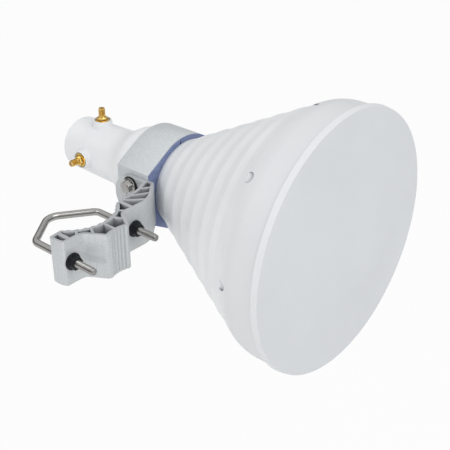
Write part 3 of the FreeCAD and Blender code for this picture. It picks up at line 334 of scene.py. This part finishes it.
def makeStainless():
    # cold-headed and drawn stainless: smooth and warm grey, its tone and gloss a little uneven
    look = {"light": "a6a5a3", "dark": "9d9b99", "markMm": 0.9, "glossy": 0.14, "dull": 0.19,
            "relief": 0.02, "reliefMm": 0.005, "low": 0.3, "high": 0.7, "toneMm": 5}
    material, tree, shader, inMm = startMaterial("drawn stainless steel", {"Metallic": 1})
    marks = addNode(tree, "ShaderNodeTexNoise", (-1000, 0), {"Scale": 1 / look["markMm"], "Detail": 2},
                    {"Vector": inMm})
    tone = addNode(tree, "ShaderNodeTexNoise", (-1000, 300), {"Scale": 1 / look["toneMm"], "Detail": 3},
                   {"Vector": inMm})
    colour = addNode(tree, "ShaderNodeValToRGB", (-700, 300),
                     {"stops": ((look["low"], look["dark"]), (look["high"], look["light"]))},
                     {"Fac": tone.outputs["Fac"]})
    tree.links.new(colour.outputs["Color"], shader.inputs["Base Color"])
    gloss = addNode(tree, "ShaderNodeMapRange", (-700, 0),
                    {"From Min": noiseLow, "From Max": noiseHigh,
                     "To Min": look["glossy"], "To Max": look["dull"]},
                    {"Value": marks.outputs["Fac"]})
    tree.links.new(gloss.outputs["Result"], shader.inputs["Roughness"])
    relief = addNode(tree, "ShaderNodeBump", (-300, -200),
                     {"Strength": look["relief"], "Distance": look["reliefMm"] * mm},
                     {"Height": marks.outputs["Fac"]})
    tree.links.new(relief.outputs["Normal"], shader.inputs["Normal"])
    return material


def makeBlackZinc():
    # steel nuts under black zinc: a deep blue-black that wears to grey in small patches
    look = {"dark": "101316", "light": "1d2225", "wearMm": 1.8, "glossy": 0.32, "dull": 0.5,
            "relief": 0.15, "reliefMm": 0.02, "low": 0.35, "high": 0.75, "metal": 0.2, "specular": 0.25}
    material, tree, shader, inMm = startMaterial("black zinc on steel", {
        "Metallic": look["metal"], "Specular IOR Level": look["specular"]})
    wear = addNode(tree, "ShaderNodeTexNoise", (-1000, 200),
                   {"Scale": 1 / look["wearMm"], "Detail": 5, "Roughness": 0.6},
                   {"Vector": inMm})
    colour = addNode(tree, "ShaderNodeValToRGB", (-700, 300),
                     {"stops": ((look["low"], look["dark"]), (look["high"], look["light"]))},
                     {"Fac": wear.outputs["Fac"]})
    tree.links.new(colour.outputs["Color"], shader.inputs["Base Color"])
    gloss = addNode(tree, "ShaderNodeMapRange", (-700, 0),
                    {"From Min": noiseLow, "From Max": noiseHigh,
                     "To Min": look["glossy"], "To Max": look["dull"]},
                    {"Value": wear.outputs["Fac"]})
    tree.links.new(gloss.outputs["Result"], shader.inputs["Roughness"])
    relief = addNode(tree, "ShaderNodeBump", (-300, -200),
                     {"Strength": look["relief"], "Distance": look["reliefMm"] * mm},
                     {"Height": wear.outputs["Fac"]})
    tree.links.new(relief.outputs["Normal"], shader.inputs["Normal"])
    return material


def makeGold():
    # thin gold over nickel on turned brass: bright and a little uneven in tone and gloss
    look = {"light": "e6c57a", "dark": "caa858", "toneMm": 1.6, "latheMm": 0.25, "glossy": 0.16,
            "dull": 0.3, "relief": 0.08, "reliefMm": 0.01, "low": 0.3, "high": 0.7}
    material, tree, shader, inMm = startMaterial("gold plated turned brass", {"Metallic": 1})
    tone = addNode(tree, "ShaderNodeTexNoise", (-1000, 300), {"Scale": 1 / look["toneMm"], "Detail": 3},
                   {"Vector": inMm})
    colour = addNode(tree, "ShaderNodeValToRGB", (-700, 300),
                     {"stops": ((look["low"], look["dark"]), (look["high"], look["light"]))},
                     {"Fac": tone.outputs["Fac"]})
    tree.links.new(colour.outputs["Color"], shader.inputs["Base Color"])
    lathe = addNode(tree, "ShaderNodeTexNoise", (-1000, -100), {"Scale": 1 / look["latheMm"], "Detail": 1},
                    {"Vector": inMm})
    gloss = addNode(tree, "ShaderNodeMapRange", (-700, 0),
                    {"From Min": noiseLow, "From Max": noiseHigh,
                     "To Min": look["glossy"], "To Max": look["dull"]},
                    {"Value": lathe.outputs["Fac"]})
    tree.links.new(gloss.outputs["Result"], shader.inputs["Roughness"])
    relief = addNode(tree, "ShaderNodeBump", (-300, -200),
                     {"Strength": look["relief"], "Distance": look["reliefMm"] * mm},
                     {"Height": lathe.outputs["Fac"]})
    tree.links.new(relief.outputs["Normal"], shader.inputs["Normal"])
    return material


def makeBrass():
    # bare turned brass of the probes inside the tube, dulled by air
    look = {"light": "c9a758", "dark": "a07c38", "toneMm": 1, "relief": 0.1, "reliefMm": 0.01,
            "low": 0.3, "high": 0.7, "roughness": 0.34}
    material, tree, shader, inMm = startMaterial("bare turned brass", {
        "Metallic": 1, "Roughness": look["roughness"]})
    tone = addNode(tree, "ShaderNodeTexNoise", (-1000, 300), {"Scale": 1 / look["toneMm"], "Detail": 4},
                   {"Vector": inMm})
    colour = addNode(tree, "ShaderNodeValToRGB", (-700, 300),
                     {"stops": ((look["low"], look["dark"]), (look["high"], look["light"]))},
                     {"Fac": tone.outputs["Fac"]})
    tree.links.new(colour.outputs["Color"], shader.inputs["Base Color"])
    relief = addNode(tree, "ShaderNodeBump", (-300, -200),
                     {"Strength": look["relief"], "Distance": look["reliefMm"] * mm},
                     {"Height": tone.outputs["Fac"]})
    tree.links.new(relief.outputs["Normal"], shader.inputs["Normal"])
    return material


def makePtfe():
    # turned PTFE: waxy white, light goes a little way in
    look = {"light": "efeeea", "dark": "e2e1dc", "toneMm": 0.8, "relief": 0.1, "reliefMm": 0.01,
            "low": 0.3, "high": 0.7, "roughness": 0.42, "depth": 0.1, "depthMm": 0.5}
    material, tree, shader, inMm = startMaterial("turned PTFE", {
        "Roughness": look["roughness"], "Subsurface Weight": look["depth"],
        "Subsurface Scale": look["depthMm"] * mm})
    tone = addNode(tree, "ShaderNodeTexNoise", (-1000, 300), {"Scale": 1 / look["toneMm"], "Detail": 3},
                   {"Vector": inMm})
    colour = addNode(tree, "ShaderNodeValToRGB", (-700, 300),
                     {"stops": ((look["low"], look["dark"]), (look["high"], look["light"]))},
                     {"Fac": tone.outputs["Fac"]})
    tree.links.new(colour.outputs["Color"], shader.inputs["Base Color"])
    relief = addNode(tree, "ShaderNodeBump", (-300, -200),
                     {"Strength": look["relief"], "Distance": look["reliefMm"] * mm},
                     {"Height": tone.outputs["Fac"]})
    tree.links.new(relief.outputs["Normal"], shader.inputs["Normal"])
    return material


def makeRubber():
    # moulded EPDM: black with a grey bloom, matt
    look = {"light": "34363a", "dark": "222427", "bloomMm": 1.5, "relief": 0.2, "reliefMm": 0.02,
            "low": 0.3, "high": 0.7, "roughness": 0.75}
    material, tree, shader, inMm = startMaterial("moulded EPDM rubber", {"Roughness": look["roughness"]})
    bloom = addNode(tree, "ShaderNodeTexNoise", (-1000, 300), {"Scale": 1 / look["bloomMm"], "Detail": 4},
                    {"Vector": inMm})
    colour = addNode(tree, "ShaderNodeValToRGB", (-700, 300),
                     {"stops": ((look["low"], look["dark"]), (look["high"], look["light"]))},
                     {"Fac": bloom.outputs["Fac"]})
    tree.links.new(colour.outputs["Color"], shader.inputs["Base Color"])
    relief = addNode(tree, "ShaderNodeBump", (-300, -200),
                     {"Strength": look["relief"], "Distance": look["reliefMm"] * mm},
                     {"Height": bloom.outputs["Fac"]})
    tree.links.new(relief.outputs["Normal"], shader.inputs["Normal"])
    return material


finishes = {
    "white_plastic": makeCapPlastic(),
    "white_paint": makePowderCoat(),
    "blue_plastic": makeBluePlastic(),
    "blasted_aluminium": makeBlastedAluminium(),
    "extruded_aluminium": makeExtrudedAluminium(),
    "stainless_steel": makeStainless(),
    "black_zinc": makeBlackZinc(),
    "gold_plate": makeGold(),
    "bare_brass": makeBrass(),
    "white_ptfe": makePtfe(),
    "black_rubber": makeRubber(),
}
print("stage: materials made")

slotOfNode = {entry["node"]: entry["material_slot"] for entry in frame["record"]["subparts"]}
bodyOfNode = {}
for bodyName, members in frame["record"]["behaviour"]["bodies"].items():
    for member in members:
        bodyOfNode[member] = bodyName
for nodeName, nodeObject in nodes.items():
    nodeObject.data.materials.clear()
    nodeObject.data.materials.append(finishes[slotOfNode[nodeName]])
print("stage: frame nodes finished")


# modelling

def selectOnly(piece):
    bpy.ops.object.select_all(action="DESELECT")
    piece.select_set(True)
    bpy.context.view_layer.objects.active = piece


def copyOf(source):
    # the copy has a mesh of its own
    piece = source.copy()
    piece.data = source.data.copy()
    bpy.context.scene.collection.objects.link(piece)
    return piece


def pick(piece, kind, wanted):
    # in edit mode: selects just the faces, edges or points that the test wants
    mesh = bmesh.from_edit_mesh(piece.data)
    bpy.ops.mesh.select_mode(type=kind)
    bpy.ops.mesh.select_all(action="DESELECT")
    for element in {"FACE": mesh.faces, "EDGE": mesh.edges, "VERT": mesh.verts}[kind]:
        if wanted(element):
            element.select_set(True)
    bmesh.update_edit_mesh(piece.data)


def openNode(nodeName):
    # a copy of the frame's node in edit mode, its facets joined to the faces they stand for
    bpy.ops.object.select_all(action="DESELECT")
    piece = copyOf(nodes[nodeName])
    selectOnly(piece)
    bpy.ops.object.mode_set(mode="EDIT")
    bpy.ops.mesh.select_all(action="SELECT")
    bpy.ops.mesh.remove_doubles(threshold=weldMm * mm)
    bpy.ops.mesh.dissolve_limited(angle_limit=math.radians(flatDeg))
    return piece


def breakEdges(piece, edgeMm, sharpDeg):
    # back in object mode: every edge sharper than that is bevelled
    bpy.ops.object.mode_set(mode="OBJECT")
    edges = piece.modifiers.new("brokenEdges", "BEVEL")
    edges.width = edgeMm * mm
    edges.segments = 2
    edges.limit_method = "ANGLE"
    edges.angle_limit = math.radians(sharpDeg)
    bpy.ops.object.modifier_apply(modifier=edges.name)


def handOver(piece, name, nodeName):
    # the finished piece stands for a frame node, rides where it rides and wears its finish
    selectOnly(piece)
    bpy.ops.object.transform_apply(location=True, rotation=True, scale=True)
    bpy.ops.object.shade_smooth_by_angle(angle=math.radians(smoothDeg))
    piece.name = name
    piece.data.name = name
    piece.data.materials.clear()
    piece.data.materials.append(finishes[slotOfNode[nodeName]])
    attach(piece, bodyOfNode[nodeName])
    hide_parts(nodeName)


def makeSoftened(nodeName, edgeMm):
    # the frame's own shape with its sharp edges broken, as a tumbled or moulded edge is
    piece = openNode(nodeName)
    breakEdges(piece, edgeMm, smoothDeg)
    handOver(piece, nodeName + "_softened", nodeName)


def addThread(thread):
    # one ridge wound round Z from z = 0: a flat strip is set on the ridge's section and screwed up
    bpy.ops.object.select_all(action="DESELECT")
    bpy.ops.mesh.primitive_plane_add(size=1)
    ridge = bpy.context.object
    root, crest, pitch = thread["rootR"], thread["crestR"], thread["pitch"]
    foot, land = thread["foot"] * pitch, thread["land"] * pitch
    section = [(root, -foot), (crest, -land), (crest, land), (root, foot)]
    for vertex, (radius, height) in zip((0, 1, 3, 2), section):
        ridge.data.vertices[vertex].co = (radius * mm, 0, height * mm)
    winding = ridge.modifiers.new("winding", "SCREW")
    winding.axis = "Z"
    winding.screw_offset = pitch * mm
    winding.iterations = thread["turns"]
    winding.steps = thread["steps"]
    winding.render_steps = thread["steps"]
    selectOnly(ridge)
    bpy.ops.object.modifier_apply(modifier=winding.name)
    bpy.ops.object.mode_set(mode="EDIT")
    bpy.ops.mesh.select_all(action="SELECT")
    bpy.ops.mesh.remove_doubles(threshold=joinMm * mm)
    bpy.ops.mesh.fill_holes(sides=8)
    bpy.ops.mesh.normals_make_consistent(inside=False)
    bpy.ops.object.mode_set(mode="OBJECT")
    return ridge


def makeVBolt():
    # bent rod: the tips are turned down to the thread's root and carry the ridge
    rod = {"radius": 3.175, "half": 33.6, "tip": -55.0, "corner": 15.2, "apex": 39.7, "cornerBend": 8.0,
           "apexBend": 13.0, "threadLength": 25.0, "rootR": 2.85, "tipR": 2.6, "pitch": 0.907, "sides": 32,
           "cornerSteps": 10, "apexSteps": 16, "threadStart": 1.3, "bareEnds": 2.4, "sink": 0.1,
           "foot": 0.46, "land": 0.08, "threadSteps": 20}
    lean = math.atan((rod["apex"] - rod["corner"]) / rod["half"])
    tail = rod["cornerBend"] * math.tan((math.pi / 2 - lean) / 2)
    crest = rod["apexBend"] * math.tan(lean)
    leg = rod["corner"] - tail - rod["tip"] - rod["threadLength"]
    slope = rod["half"] / math.cos(lean) - tail - crest
    bpy.ops.object.select_all(action="DESELECT")
    start = Vector((rod["half"], rod["tip"], 0)) * mm
    bpy.ops.mesh.primitive_circle_add(vertices=rod["sides"], radius=rod["tipR"] * mm, fill_type="NGON",
                                      location=start, rotation=(math.pi / 2, 0, 0))
    bolt = bpy.context.object
    selectOnly(bolt)
    bpy.ops.object.transform_apply(location=True, rotation=True)
    bpy.ops.object.mode_set(mode="EDIT")
    bpy.ops.mesh.select_mode(type="FACE")
    bpy.ops.mesh.select_all(action="SELECT")
    place = start.copy()
    heading = math.pi / 2

    def runStraight(lengthMm, growth=1.0):
        # the end face is pushed along the rod, and made wider or narrower where the rod is
        nonlocal place
        step = Vector((math.cos(heading), math.sin(heading), 0)) * lengthMm * mm
        bpy.ops.mesh.extrude_region_move(TRANSFORM_OT_translate={"value": step})
        place = place + step
        if growth != 1.0:
            bpy.ops.transform.resize(value=(growth, growth, growth), center_override=place)

    def runBend(radiusMm, angle, steps):
        nonlocal place, heading
        toCentre = Vector((-math.sin(heading), math.cos(heading), 0)) * radiusMm * mm
        centre = place + toCentre
        bpy.ops.mesh.spin(steps=steps, angle=-angle, center=centre, axis=(0, 0, 1))
        heading = heading + angle
        place = centre - Vector((-math.sin(heading), math.cos(heading), 0)) * radiusMm * mm

    chamfer = rod["rootR"] - rod["tipR"]
    shoulder = rod["radius"] - rod["rootR"]
    runStraight(chamfer, rod["rootR"] / rod["tipR"])
    runStraight(rod["threadLength"] - chamfer - shoulder)
    runStraight(shoulder, rod["radius"] / rod["rootR"])
    runStraight(leg)
    runBend(rod["cornerBend"], math.pi / 2 - lean, rod["cornerSteps"])
    runStraight(slope)
    runBend(rod["apexBend"], 2 * lean, rod["apexSteps"])
    runStraight(slope)
    runBend(rod["cornerBend"], math.pi / 2 - lean, rod["cornerSteps"])
    runStraight(leg)
    runStraight(shoulder, rod["rootR"] / rod["radius"])
    runStraight(rod["threadLength"] - chamfer - shoulder)
    runStraight(chamfer, rod["tipR"] / rod["rootR"])
    bpy.ops.mesh.select_all(action="SELECT")
    bpy.ops.mesh.remove_doubles(threshold=joinMm * mm)
    bpy.ops.mesh.normals_make_consistent(inside=False)
    bpy.ops.object.mode_set(mode="OBJECT")
    # the ridge's foot is sunk a little into the rod
    thread = {"rootR": rod["rootR"] - rod["sink"], "crestR": rod["radius"], "pitch": rod["pitch"],
              "foot": rod["foot"], "land": rod["land"], "steps": rod["threadSteps"],
              "turns": int((rod["threadLength"] - rod["bareEnds"]) / rod["pitch"])}
    first = addThread(thread)
    second = copyOf(first)
    for ridge, side in ((first, 1), (second, -1)):
        ridge.rotation_euler = (-math.pi / 2, 0, 0)
        ridge.location = Vector((side * rod["half"], rod["tip"] + rod["threadStart"], 0)) * mm
        selectOnly(ridge)
        bpy.ops.object.transform_apply(location=True, rotation=True)
    selectOnly(bolt)
    first.select_set(True)
    second.select_set(True)
    bpy.ops.object.join()
    handOver(bolt, "bent_rod", "v_bolt")


def makeConnectorShell():
    # stacked as a lathe hand would turn it, standing on Z; the port's place comes afterwards
    shell = {"flangeR": 6.7, "seat": 30.1, "flangeTop": 31.4, "hexAf": 9.6, "hexTop": 34.8, "crownR": 3.9,
             "coneDrop": 1.9, "coreR": 2.72, "top": 43.3, "socketR": 2.3, "socketDepth": 1.9, "boreR": 2.1,
             "studR": 3.1, "studFoot": 23.8, "crestR": 3.175, "pitch": 0.7056, "threadStart": 36.2,
             "bareTop": 0.5, "sink": 0.08, "foot": 0.46, "land": 0.08, "threadSteps": 20, "wellDepth": 2.5,
             "rimEdge": 0.25, "overlap": 0.4, "turningOver": 0.2, "ringR": 2.75, "ringWireR": 0.3,
             "ringLift": 0.15, "flangeSides": 56, "turningSides": 72, "barrelSides": 48}
    bpy.ops.object.select_all(action="DESELECT")
    flangeH = shell["flangeTop"] - shell["seat"]
    bpy.ops.mesh.primitive_cylinder_add(vertices=shell["flangeSides"], radius=shell["flangeR"] * mm,
                                        depth=flangeH * mm,
                                        location=(0, 0, (shell["seat"] + flangeH / 2) * mm))
    flange = bpy.context.object
    bpy.ops.object.mode_set(mode="EDIT")
    pick(flange, "FACE", lambda face: face.normal.z < -facesUp)
    bpy.ops.mesh.inset(thickness=(shell["flangeR"] - shell["studR"]) * mm)
    bpy.ops.mesh.extrude_region_move(
        TRANSFORM_OT_translate={"value": (0, 0, (shell["studFoot"] - shell["seat"]) * mm)})
    rimZ = (flangeH / 2) * mm
    pick(flange, "EDGE", lambda edge: all(abs(v.co.z - rimZ) < near for v in edge.verts))
    bpy.ops.mesh.bevel(offset=shell["rimEdge"] * mm, segments=2)
    bpy.ops.object.mode_set(mode="OBJECT")

    # hexagon: its top is turned to a cone down to the flats
    bpy.ops.object.select_all(action="DESELECT")
    hexH = shell["hexTop"] - shell["flangeTop"]
    hexMiddle = (0, 0, (shell["flangeTop"] + hexH / 2) * mm)
    cornerR = shell["hexAf"] / math.sqrt(3)
    bpy.ops.mesh.primitive_cylinder_add(vertices=6, radius=cornerR * mm, depth=hexH * mm,
                                        location=hexMiddle)
    hexagon = bpy.context.object
    coneFootR = cornerR + shell["turningOver"]
    bpy.ops.mesh.primitive_cylinder_add(vertices=shell["turningSides"], radius=coneFootR * mm,
                                        depth=hexH * mm, location=hexMiddle)
    turning = bpy.context.object
    bpy.ops.object.mode_set(mode="EDIT")
    pick(turning, "FACE", lambda face: face.normal.z > facesUp)
    bpy.ops.transform.translate(value=(0, 0, -shell["coneDrop"] * mm))
    bpy.ops.mesh.extrude_region_move(TRANSFORM_OT_translate={"value": (0, 0, shell["coneDrop"] * mm)})
    ratio = shell["crownR"] / coneFootR
    bpy.ops.transform.resize(value=(ratio, ratio, 1), center_override=(0, 0, shell["hexTop"] * mm))
    bpy.ops.object.mode_set(mode="OBJECT")
    cut = hexagon.modifiers.new("turnedCrown", "BOOLEAN")
    cut.operation = "INTERSECT"
    cut.object = turning
    selectOnly(hexagon)
    bpy.ops.object.modifier_apply(modifier=cut.name)
    bpy.data.objects.remove(turning)

    # barrel with its mating socket; the well below it takes the insulator
    bpy.ops.object.select_all(action="DESELECT")
    barrelH = shell["top"] - shell["hexTop"] + shell["overlap"]
    bpy.ops.mesh.primitive_cylinder_add(vertices=shell["barrelSides"], radius=shell["coreR"] * mm,
                                        depth=barrelH * mm,
                                        location=(0, 0, (shell["top"] - barrelH / 2) * mm))
    barrel = bpy.context.object
    bpy.ops.object.mode_set(mode="EDIT")
    pick(barrel, "FACE", lambda face: face.normal.z > facesUp)
    bpy.ops.mesh.inset(thickness=(shell["coreR"] - shell["socketR"]) * mm)
    bpy.ops.mesh.extrude_region_move(TRANSFORM_OT_translate={"value": (0, 0, -shell["socketDepth"] * mm)})
    bpy.ops.mesh.inset(thickness=(shell["socketR"] - shell["boreR"]) * mm)
    bpy.ops.mesh.extrude_region_move(TRANSFORM_OT_translate={"value": (0, 0, -shell["wellDepth"] * mm)})
    bpy.ops.object.mode_set(mode="OBJECT")
    thread = {"rootR": shell["coreR"] - shell["sink"], "crestR": shell["crestR"], "pitch": shell["pitch"],
              "foot": shell["foot"], "land": shell["land"], "steps": shell["threadSteps"],
              "turns": int((shell["top"] - shell["bareTop"] - shell["threadStart"]) / shell["pitch"])}
    ridge = addThread(thread)
    ridge.location = (0, 0, shell["threadStart"] * mm)
    # raised ring between hexagon and thread, where the plug's nut stops
    bpy.ops.object.select_all(action="DESELECT")
    bpy.ops.mesh.primitive_torus_add(major_radius=shell["ringR"] * mm,
                                     minor_radius=shell["ringWireR"] * mm,
                                     major_segments=shell["barrelSides"], minor_segments=12,
                                     location=(0, 0, (shell["hexTop"] + shell["ringLift"]) * mm))
    ring = bpy.context.object
    selectOnly(flange)
    for part in (hexagon, barrel, ridge, ring):
        part.select_set(True)
    bpy.ops.object.join()
    bpy.ops.object.transform_apply(location=True, rotation=True, scale=True)
    return flange


def placeConnectors():
    low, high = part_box("top_contact")
    portY = (low[1] + high[1]) / 2
    top = makeConnectorShell()
    side = copyOf(top)
    top.location = (hornX, portY, 0)
    side.location = (hornX, portY, 0)
    side.rotation_euler = (0, -math.pi / 2, 0)
    handOver(top, "top_connector_shell", "top_connector")
    handOver(side, "side_connector_shell", "side_connector")


def makeBracket():
    # extruded section: cell corners are rounded by the die and the sawn ends are deburred
    bracket = {"cellRound": 0.9, "deburr": 0.3, "rearJawY": 6.5, "rearJawR": 35.9, "frontJawY": -70.3,
               "frontJawR": 25.0, "toothReach": 1.4, "seamX": 18.1, "seamY": -37.9, "seamStep": 0.8,
               "seamReach": 0.25, "cellDeg": 20, "cellsEndX": 72, "sharpDeg": 40}
    piece = openNode("bracket")
    # the seam on each flank of the nose is dressed flush
    for side in (-1, 1):
        seam = (side * bracket["seamX"] * mm, bracket["seamY"] * mm)
        reach = bracket["seamReach"] * mm
        pick(piece, "VERT", lambda point: math.hypot(point.co.x - seam[0], point.co.y - seam[1]) < reach)
        bpy.ops.transform.translate(value=(-side * bracket["seamStep"] * mm, 0, 0))

    def isCellCorner(edge):
        # an upright inner edge that is not a root of the jaws' teeth and not beyond the cells
        a, b = edge.verts[0].co, edge.verts[1].co
        if abs(a.x - b.x) > near or abs(a.y - b.y) > near or len(edge.link_faces) != 2:
            return False
        if edge.calc_face_angle_signed(0) > -math.radians(bracket["cellDeg"]):
            return False
        onRear = abs(math.hypot(a.x / mm, a.y / mm - bracket["rearJawY"]) - bracket["rearJawR"])
        onFront = abs(math.hypot(a.x / mm, a.y / mm - bracket["frontJawY"]) - bracket["frontJawR"])
        return min(onRear, onFront) > bracket["toothReach"] and a.x < bracket["cellsEndX"] * mm

    pick(piece, "EDGE", isCellCorner)
    bpy.ops.mesh.bevel(offset=bracket["cellRound"] * mm, segments=3, clamp_overlap=True)
    breakEdges(piece, bracket["deburr"], bracket["sharpDeg"])
    handOver(piece, "webbed_bracket", "bracket")


def makeBosses():
    # the tube's two bosses stand higher than the frame has them: a turned collar with the flange's recess
    boss = {"outerR": 9.4, "foot": 24.3, "shoulder": 29.7, "rimR": 8.7, "top": 31.7, "recessR": 7.5,
            "seat": 30.1, "edge": 0.4, "sides": 72}
    low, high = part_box("top_contact")
    portY = (low[1] + high[1]) / 2
    bpy.ops.object.select_all(action="DESELECT")
    height = boss["shoulder"] - boss["foot"]
    bpy.ops.mesh.primitive_cylinder_add(vertices=boss["sides"], radius=boss["outerR"] * mm,
                                        depth=height * mm,
                                        location=(0, 0, (boss["foot"] + height / 2) * mm))
    top = bpy.context.object
    selectOnly(top)
    bpy.ops.object.transform_apply(location=True)
    bpy.ops.object.mode_set(mode="EDIT")
    pick(top, "FACE", lambda face: face.normal.z > facesUp)
    bpy.ops.mesh.inset(thickness=(boss["outerR"] - boss["rimR"]) * mm)
    bpy.ops.mesh.extrude_region_move(
        TRANSFORM_OT_translate={"value": (0, 0, (boss["top"] - boss["shoulder"]) * mm)})
    bpy.ops.mesh.inset(thickness=(boss["rimR"] - boss["recessR"]) * mm)
    bpy.ops.mesh.extrude_region_move(
        TRANSFORM_OT_translate={"value": (0, 0, (boss["seat"] - boss["top"]) * mm)})
    rimHeights = (boss["top"] * mm, boss["shoulder"] * mm)

    def isRimEdge(edge):
        a, b = edge.verts[0].co, edge.verts[1].co
        if abs(a.z - b.z) > near or math.hypot(a.x, a.y) < boss["recessR"] * mm - near:
            return False
        level = min(abs(a.z - height) for height in rimHeights) < near
        return level and abs(math.hypot(a.x, a.y) - math.hypot(b.x, b.y)) < near

    pick(top, "EDGE", isRimEdge)
    bpy.ops.mesh.bevel(offset=boss["edge"] * mm, segments=3)
    bpy.ops.object.mode_set(mode="OBJECT")
    side = copyOf(top)
    side.rotation_euler = (0, -math.pi / 2, 0)
    for piece, name in ((top, "top_boss"), (side, "side_boss")):
        piece.location = (hornX, portY, 0)
        selectOnly(piece)
        bpy.ops.object.transform_apply(location=True, rotation=True, scale=True)
        bpy.ops.object.shade_smooth_by_angle(angle=math.radians(smoothDeg))
        piece.name = name
        piece.data.name = name
        piece.data.materials.append(finishes["white_paint"])
        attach(piece, "horn")


makeBracket()
print("stage: bracket made")
makeBosses()
print("stage: bosses made")
makeVBolt()
placeConnectors()
print("stage: rod and connectors made")
edgesMm = {"collar": 0.5, "liner_ring": 0.3, "clamp_nuts": 0.18, "tilt_bolts": 0.18, "tilt_washers": 0.15}
for nodeName, edgeMm in edgesMm.items():
    makeSoftened(nodeName, edgeMm)
print("stage: edges broken")


# floor, lights and camera

def makeFloor():
    # pale paper that the camera and mirrors see nearly white, as the photo's ground
    look = {"size": 14, "middleX": 0.1, "height": -0.42, "colour": "f4f4f4", "roughness": 0.9,
            "seen": "fdfdfd", "share": 0.96}
    bpy.ops.object.select_all(action="DESELECT")
    bpy.ops.mesh.primitive_plane_add(size=look["size"], location=(look["middleX"], 0, look["height"]))
    floor = bpy.context.object
    floor.name = "floor"
    material = bpy.data.materials.new("pale paper floor")
    material.use_nodes = True
    tree = material.node_tree
    shader = tree.nodes["Principled BSDF"]
    shader.inputs["Base Color"].default_value = linearColour(look["colour"])
    shader.inputs["Roughness"].default_value = look["roughness"]
    path = addNode(tree, "ShaderNodeLightPath", (-500, 500))
    seen = addNode(tree, "ShaderNodeMath", (-300, 500), {"operation": "MAXIMUM"},
                   {0: path.outputs["Is Camera Ray"], 1: path.outputs["Is Glossy Ray"]})
    share = addNode(tree, "ShaderNodeMath", (-100, 500), {"operation": "MULTIPLY", 1: look["share"]},
                    {0: seen.outputs[0]})
    white = addNode(tree, "ShaderNodeEmission", (0, 300),
                    {"Color": linearColour(look["seen"]), "Strength": 1})
    mix = addNode(tree, "ShaderNodeMixShader", (300, 100), None,
                  {0: share.outputs[0], 1: shader.outputs["BSDF"], 2: white.outputs["Emission"]})
    tree.links.new(mix.outputs["Shader"], tree.nodes["Material Output"].inputs["Surface"])
    floor.data.materials.append(material)


def makeWorld():
    # even studio light; metal sees a white ceiling over a darker band near the horizon
    look = {"colour": "fdfdfd", "light": 0.77, "band": 0.12, "bandTopZ": 0.15, "ceilingZ": 0.55}
    world = bpy.data.worlds.new("studio")
    bpy.context.scene.world = world
    world.use_nodes = True
    tree = world.node_tree
    background = tree.nodes["Background"]
    background.inputs["Color"].default_value = linearColour(look["colour"])
    coords = addNode(tree, "ShaderNodeTexCoord", (-1100, -200))
    split = addNode(tree, "ShaderNodeSeparateXYZ", (-900, -200),
                    None, {"Vector": coords.outputs["Generated"]})
    ceiling = addNode(tree, "ShaderNodeMapRange", (-700, -200),
                      {"From Min": look["bandTopZ"], "From Max": look["ceilingZ"], "To Min": look["band"]},
                      {"Value": split.outputs["Z"]})
    path = addNode(tree, "ShaderNodeLightPath", (-900, 300))
    mirrored = addNode(tree, "ShaderNodeMix", (-400, 0), {"data_type": "FLOAT", 2: look["light"]},
                       {0: path.outputs["Is Glossy Ray"], 3: ceiling.outputs["Result"]})
    strength = addNode(tree, "ShaderNodeMix", (-200, 200), {"data_type": "FLOAT", 3: 1.0},
                       {0: path.outputs["Is Camera Ray"], 2: mirrored.outputs[0]})
    tree.links.new(strength.outputs[0], background.inputs["Strength"])


def makeLamps():
    # key from the front above, edge from behind the mast, and a small one that grazes the bracket's side
    aim = Vector((0.12, -0.02, 0))
    lamps = {"key": {"place": (0.1, -1.0, 1.35), "size": 1.2, "power": 9},
             "edge": {"place": (-1.0, 0.6, 1.0), "size": 0.6, "power": 2.5},
             "side": {"place": (-1.35, -0.7, 0.2), "size": 0.25, "power": 4}}
    for name, settings in lamps.items():
        light = bpy.data.lights.new(name, "AREA")
        light.shape = "SQUARE"
        light.size = settings["size"]
        light.energy = settings["power"]
        lamp = bpy.data.objects.new(name, light)
        lamp.location = settings["place"]
        lamp.rotation_euler = (aim - Vector(settings["place"])).to_track_quat("-Z", "Y").to_euler()
        bpy.context.scene.collection.objects.link(lamp)


def makeCamera():
    # where the photo was taken from, as fitted to its ellipses
    view = {"place": (-0.4025, -0.4985, 0.3635), "turn": -49.64, "pitch": 29.54,
            "lens": 71.03, "sensor": 36}
    data = bpy.data.cameras.new("camera")
    data.lens = view["lens"]
    data.sensor_width = view["sensor"]
    camera = bpy.data.objects.new("camera", data)
    camera.location = view["place"]
    camera.rotation_euler = (math.radians(90 - view["pitch"]), 0, math.radians(view["turn"]))
    bpy.context.scene.collection.objects.link(camera)
    bpy.context.scene.camera = camera


makeFloor()
makeWorld()
makeLamps()
makeCamera()
bpy.context.scene.view_settings.view_transform = "Standard"
print("stage: floor, lights and camera made")
